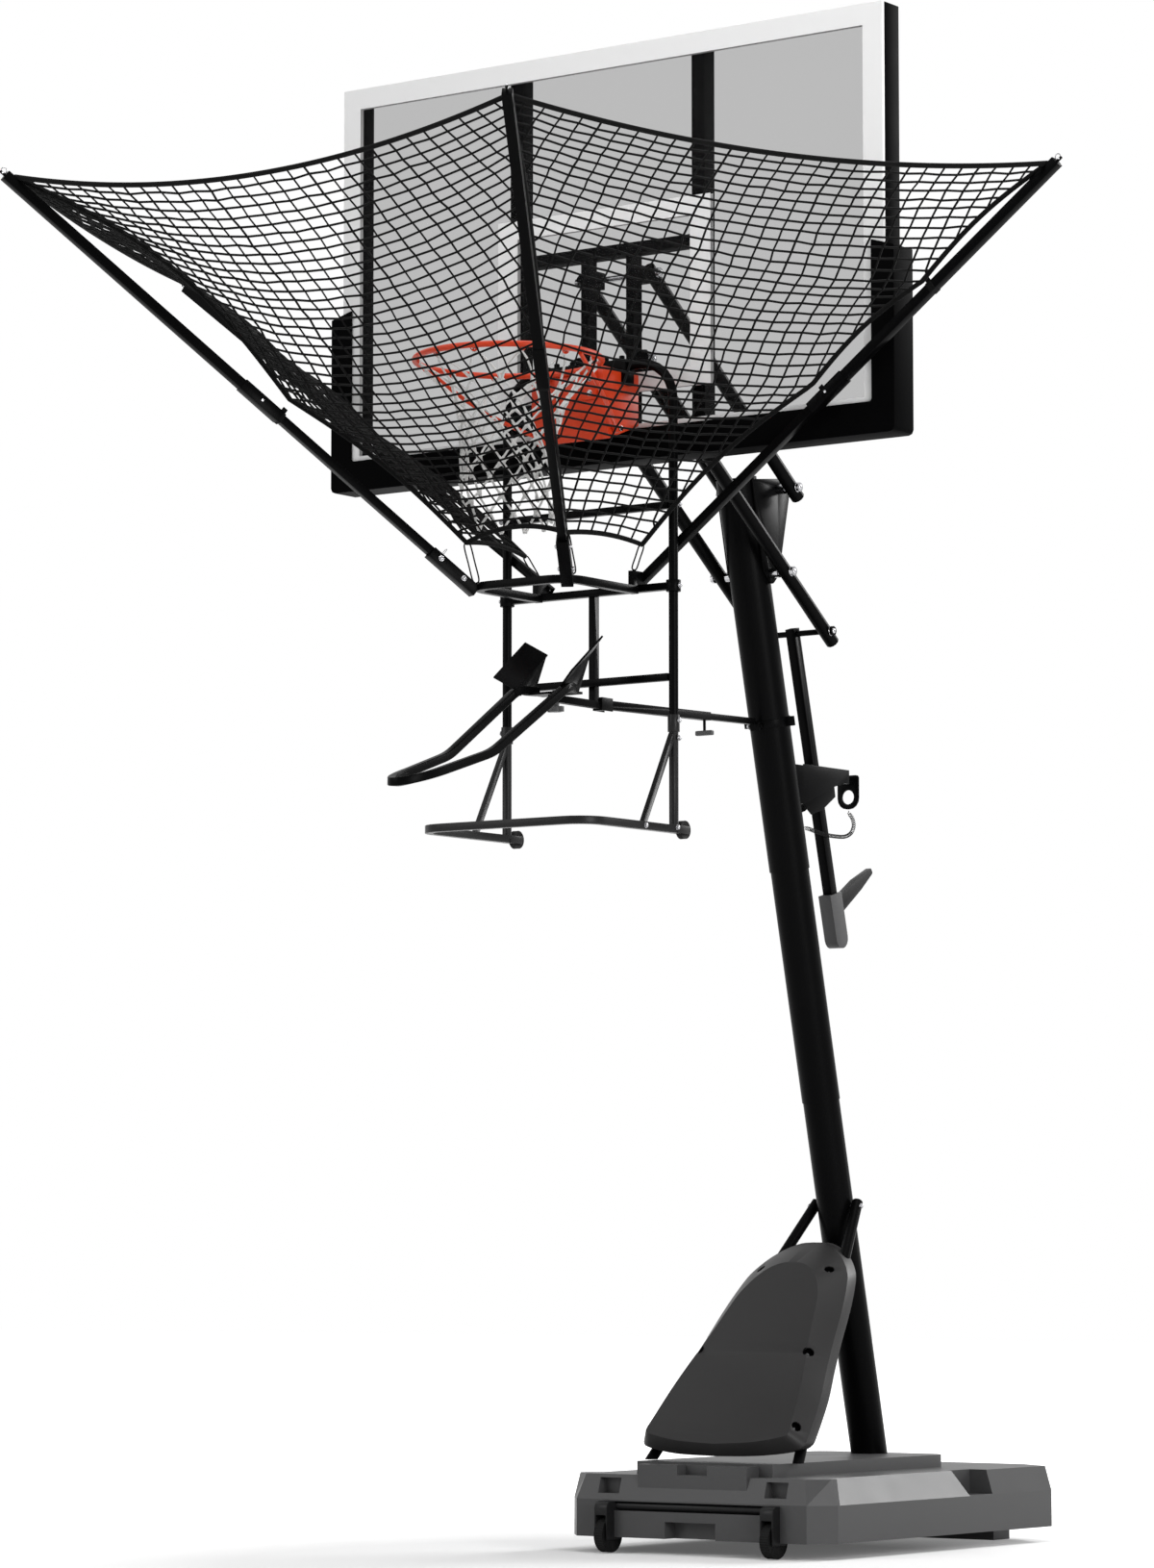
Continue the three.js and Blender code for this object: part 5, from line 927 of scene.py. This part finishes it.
def makeClamp():
    lean = Matrix.Translation(at(*clamp["place"])) @ Matrix.Rotation(math.radians(clamp["lean"]), 4, "X")
    far = clamp["split"] + clamp["plate"]
    flanges, bolts = [], []
    for side in (-1, 1):
        for turn in (-1, 1):
            ends = sorted((side * clamp["inner"], side * clamp["outer"]))
            depth = sorted((turn * clamp["split"], turn * far))
            flanges.append(block(Vector((ends[0], depth[0], -clamp["half"])) * mm,
                                 Vector((ends[1], depth[1], clamp["half"])) * mm, clamp["edge"] * mm, lean))
            spot = Vector((side * (clamp["inner"] + clamp["outer"]) / 2, side * far, turn * clamp["bolt"])) * mm
            bolts.append(nutAt(lean @ spot, lean.to_3x3() @ Vector((0, side, 0)), clamp["nut"]))
    place(joined(flanges), "pole_clamp_flanges", "powderBlack", "pole_clamp")
    place(joined(bolts), "pole_clamp_bolts", "boltChrome", "pole_clamp", slot="bolt_chrome")


def makeScrewGrip():
    low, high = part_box("strap_screw")
    middle = Vector(((low.x + high.x) / 2, (low.y + high.y) / 2, low.z + screwGrip["rise"] * mm))
    half = Vector(screwGrip["half"]) * mm
    piece = block(middle - half, middle + half, screwGrip["edge"] * mm)
    place(piece, "strap_screw_grip", "gripPlastic", "strap_screw")


makeFrameBolts()
makeClamp()
makeScrewGrip()
print("fittings made")

# Hood: an arched cover with a raised middle panel, a sloping band and six sunk screws
hood = {
    "origin": (0, 550, 326.6), "rise": (0, 343, 414.9), "segments": 96, "band": 0.2, "edge": -20, "edgeDrop": 0.2,
    "panel": 25, "panelDrop": 0.35, "dropEnd": 6, "deep": 42, "wall": 4, "round": 3.5,
    "outline": [(0, -80), (130, -74), (222, -56), (254, -38), (256, 0), (245, 109), (226, 200), (208, 295),
                (192, 400), (178, 470), (162, 528), (145, 560), (118, 595), (80, 627), (38, 648), (0, 652)],
    "crease": [(0, -64), (118, -58), (198, -44), (226, -32), (221, 10), (205, 105), (186, 190), (160, 290),
               (136, 400), (125, 440), (113, 465), (99, 490), (76, 518), (50, 536), (22, 545.5), (0, 547)],
    "screws": [(109, 893, 741.5), (168, 696, 520), (215.5, 550, 326.6)], "bore": 14, "boreIn": 12, "boreOut": 20,
    "head": 3.8, "sunk": 14, "seatWall": 2.2, "seatFloor": 3, "seatBelow": 2.5, "seatRim": 2,
}


def hoodSpot(side, share, ring):  # ring 0 is the outline, ring 1 the crease
    line = curveThrough([Vector((x, along, 0)) for x, along in hood["crease" if ring else "outline"]], 6)
    index = min(share, 0.9999) * (len(line) - 1)
    flat = line[int(index)].lerp(line[int(index) + 1], index % 1)
    rise = Vector(hood["rise"]).normalized()
    outward = Vector((0, -rise.z, rise.y))
    drop = 1 - min(1.0, share * hood["dropEnd"])  # the panel falls back a little towards the bottom lip
    lift = hood["panel"] * (1 - hood["panelDrop"] * drop) if ring else hood["edge"] * (1 - hood["edgeDrop"] * drop)
    return at(*(Vector(hood["origin"]) + Vector((side * flat.x, 0, 0)) + rise * flat.y + outward * lift))


def makeSeat(foot, mouth, radius):  # an open seat moulded behind a screw hole; its near-black finish is painted shade
    piece = cylinder(foot, mouth, radius, 28)
    along = (mouth - foot).normalized()
    selectFaces(piece, lambda face: face.normal.dot(along) > 0.9)
    bpy.ops.mesh.inset(thickness=hood["seatRim"] * mm, depth=0)
    down = (foot - mouth) + along * hood["seatFloor"] * mm
    bpy.ops.mesh.extrude_region_move(TRANSFORM_OT_translate={"value": down, "orient_type": "GLOBAL"})
    objectMode()
    return piece


def makeHood():
    bpy.ops.mesh.primitive_circle_add(vertices=hood["segments"], radius=1, fill_type="NGON")
    cover = bpy.context.object
    editAll()
    bpy.ops.mesh.inset(thickness=hood["band"], depth=0)
    objectMode()
    for vertex in cover.data.vertices:
        angle = math.atan2(vertex.co.x, -vertex.co.y)
        ring = vertex.co.length < 1 - hood["band"] / 4
        vertex.co = hoodSpot(math.copysign(1, angle), abs(angle) / math.pi, ring)
    editAll()
    bpy.ops.mesh.region_to_loop()
    bpy.ops.mesh.extrude_edges_move(TRANSFORM_OT_translate={"value": (0, hood["deep"] * mm, 0)})
    bpy.ops.mesh.select_all(action="SELECT")
    bpy.ops.mesh.normals_make_consistent(inside=False)
    objectMode()
    seats = [cover.closest_point_on_mesh(at(*sided(spot, side)))[1:3] for side in (-1, 1) for spot in hood["screws"]]
    shell = cover.modifiers.new("wall", "SOLIDIFY")
    shell.thickness, shell.offset = hood["wall"] * mm, -1
    bpy.ops.object.modifier_apply(modifier=shell.name)
    bore = joined([cylinder(spot - normal * hood["boreIn"] * mm, spot + normal * hood["boreOut"] * mm,
                            hood["bore"] * mm, 28) for spot, normal in seats])
    onlySelect(cover)
    cut = cover.modifiers.new("bores", "BOOLEAN")
    cut.object, cut.operation = bore, "DIFFERENCE"
    bpy.ops.object.modifier_apply(modifier=cut.name)
    bpy.data.objects.remove(bore)
    bevelled(cover, hood["round"] * mm, 3, 24)
    smooth(cover, 35)
    place(cover, "hood_cover", "hoodPlastic", "hood", "hood")
    # The seat cups take the near-black pad rubber finish, darker than the hood plastic: painted shade in the screw
    # recesses
    shadedCups, heads = [], []
    for spot, normal in seats:
        foot = spot - normal * hood["sunk"] * mm
        shadedCups.append(makeSeat(foot - normal * hood["seatFloor"] * mm, spot - normal * hood["seatBelow"] * mm,
                             (hood["bore"] + hood["seatWall"]) * mm))
        heads.append(nutAt(foot, normal, hood["head"]))
    place(joined(shadedCups), "hood_screw_seats_painted_shade", "padRubberAndSeatShade", "hood", slot="pad_rubber")
    place(joined(heads), "hood_screws", "boltDark", "hood", slot="bolt_chrome")
    print("hood made")


makeHood()

# Floor, backdrop and studio light
studio = {"floor": 60.0, "floorColour": (0.82, 0.82, 0.82, 1), "white": (1, 1, 1, 1), "world": 0.3,
          "nearRadius": 1.0, "farRadius": 3.4, "nearGlow": 0.1, "farGlow": 1.0}


def makeStudio():
    bpy.ops.mesh.primitive_plane_add(size=studio["floor"], location=(0, 0, 0))
    floor = bpy.context.object
    floor.name = "studio_floor"
    paint = Paint("studioFloor")
    matt = paint.add("ShaderNodeBsdfDiffuse", None, {"Color": studio["floorColour"]})
    far = paint.add("ShaderNodeVectorMath", {"operation": "LENGTH"}, {0: paint.place}, "Value")
    near = paint.add("ShaderNodeMapRange", None, {"Value": far, "From Min": studio["nearRadius"],
                                                  "From Max": studio["farRadius"], "To Min": studio["nearGlow"],
                                                  "To Max": studio["farGlow"]})  # the shadow shows near the base
    glow = paint.add("ShaderNodeEmission", None, {"Color": studio["white"], "Strength": paint.seen() * near})
    paint.link(paint.add("ShaderNodeAddShader", None, {0: matt, 1: glow}))
    floor.data.materials.append(paint.owner)
    air = Paint("studio", world=True)
    soft = air.add("ShaderNodeBackground", None, {"Color": studio["white"], "Strength": studio["world"]})
    bright = air.add("ShaderNodeBackground", None, {"Color": studio["white"], "Strength": 1.0})
    air.link(air.add("ShaderNodeMixShader", None, {0: air.seen(), 1: soft, 2: bright}))
    bpy.context.scene.world = air.owner


lamps = {"key": {"place": (9.0, -3.0, 3.0), "aim": (0, 0.3, 1.0), "size": 4.0, "power": 500},
         "back": {"place": (3.2, 9.0, 6.5), "aim": (0.3, 0.8, 0.4), "size": 3.5, "power": 700},
         "fill": {"place": (-5.0, -9.0, 6.0), "aim": (0, 0, 1.8), "size": 6.0, "power": 400},
         "top": {"place": (1.0, -1.0, 9.5), "aim": (0, 0.2, 0), "size": 6.0, "power": 300}}


def makeLamps():
    for name, spec in lamps.items():
        data = bpy.data.lights.new(name, "AREA")
        data.energy, data.size = spec["power"], spec["size"]
        lamp = bpy.data.objects.new(name, data)
        lamp.location = spec["place"]
        aim = Vector(spec["aim"]) - Vector(spec["place"])
        lamp.rotation_euler = aim.to_track_quat("-Z", "Y").to_euler()
        bpy.context.scene.collection.objects.link(lamp)


makeStudio()
makeLamps()
bpy.context.scene.view_settings.view_transform = "Standard"
bpy.data.objects.remove(nutModel)
print("studio lit")
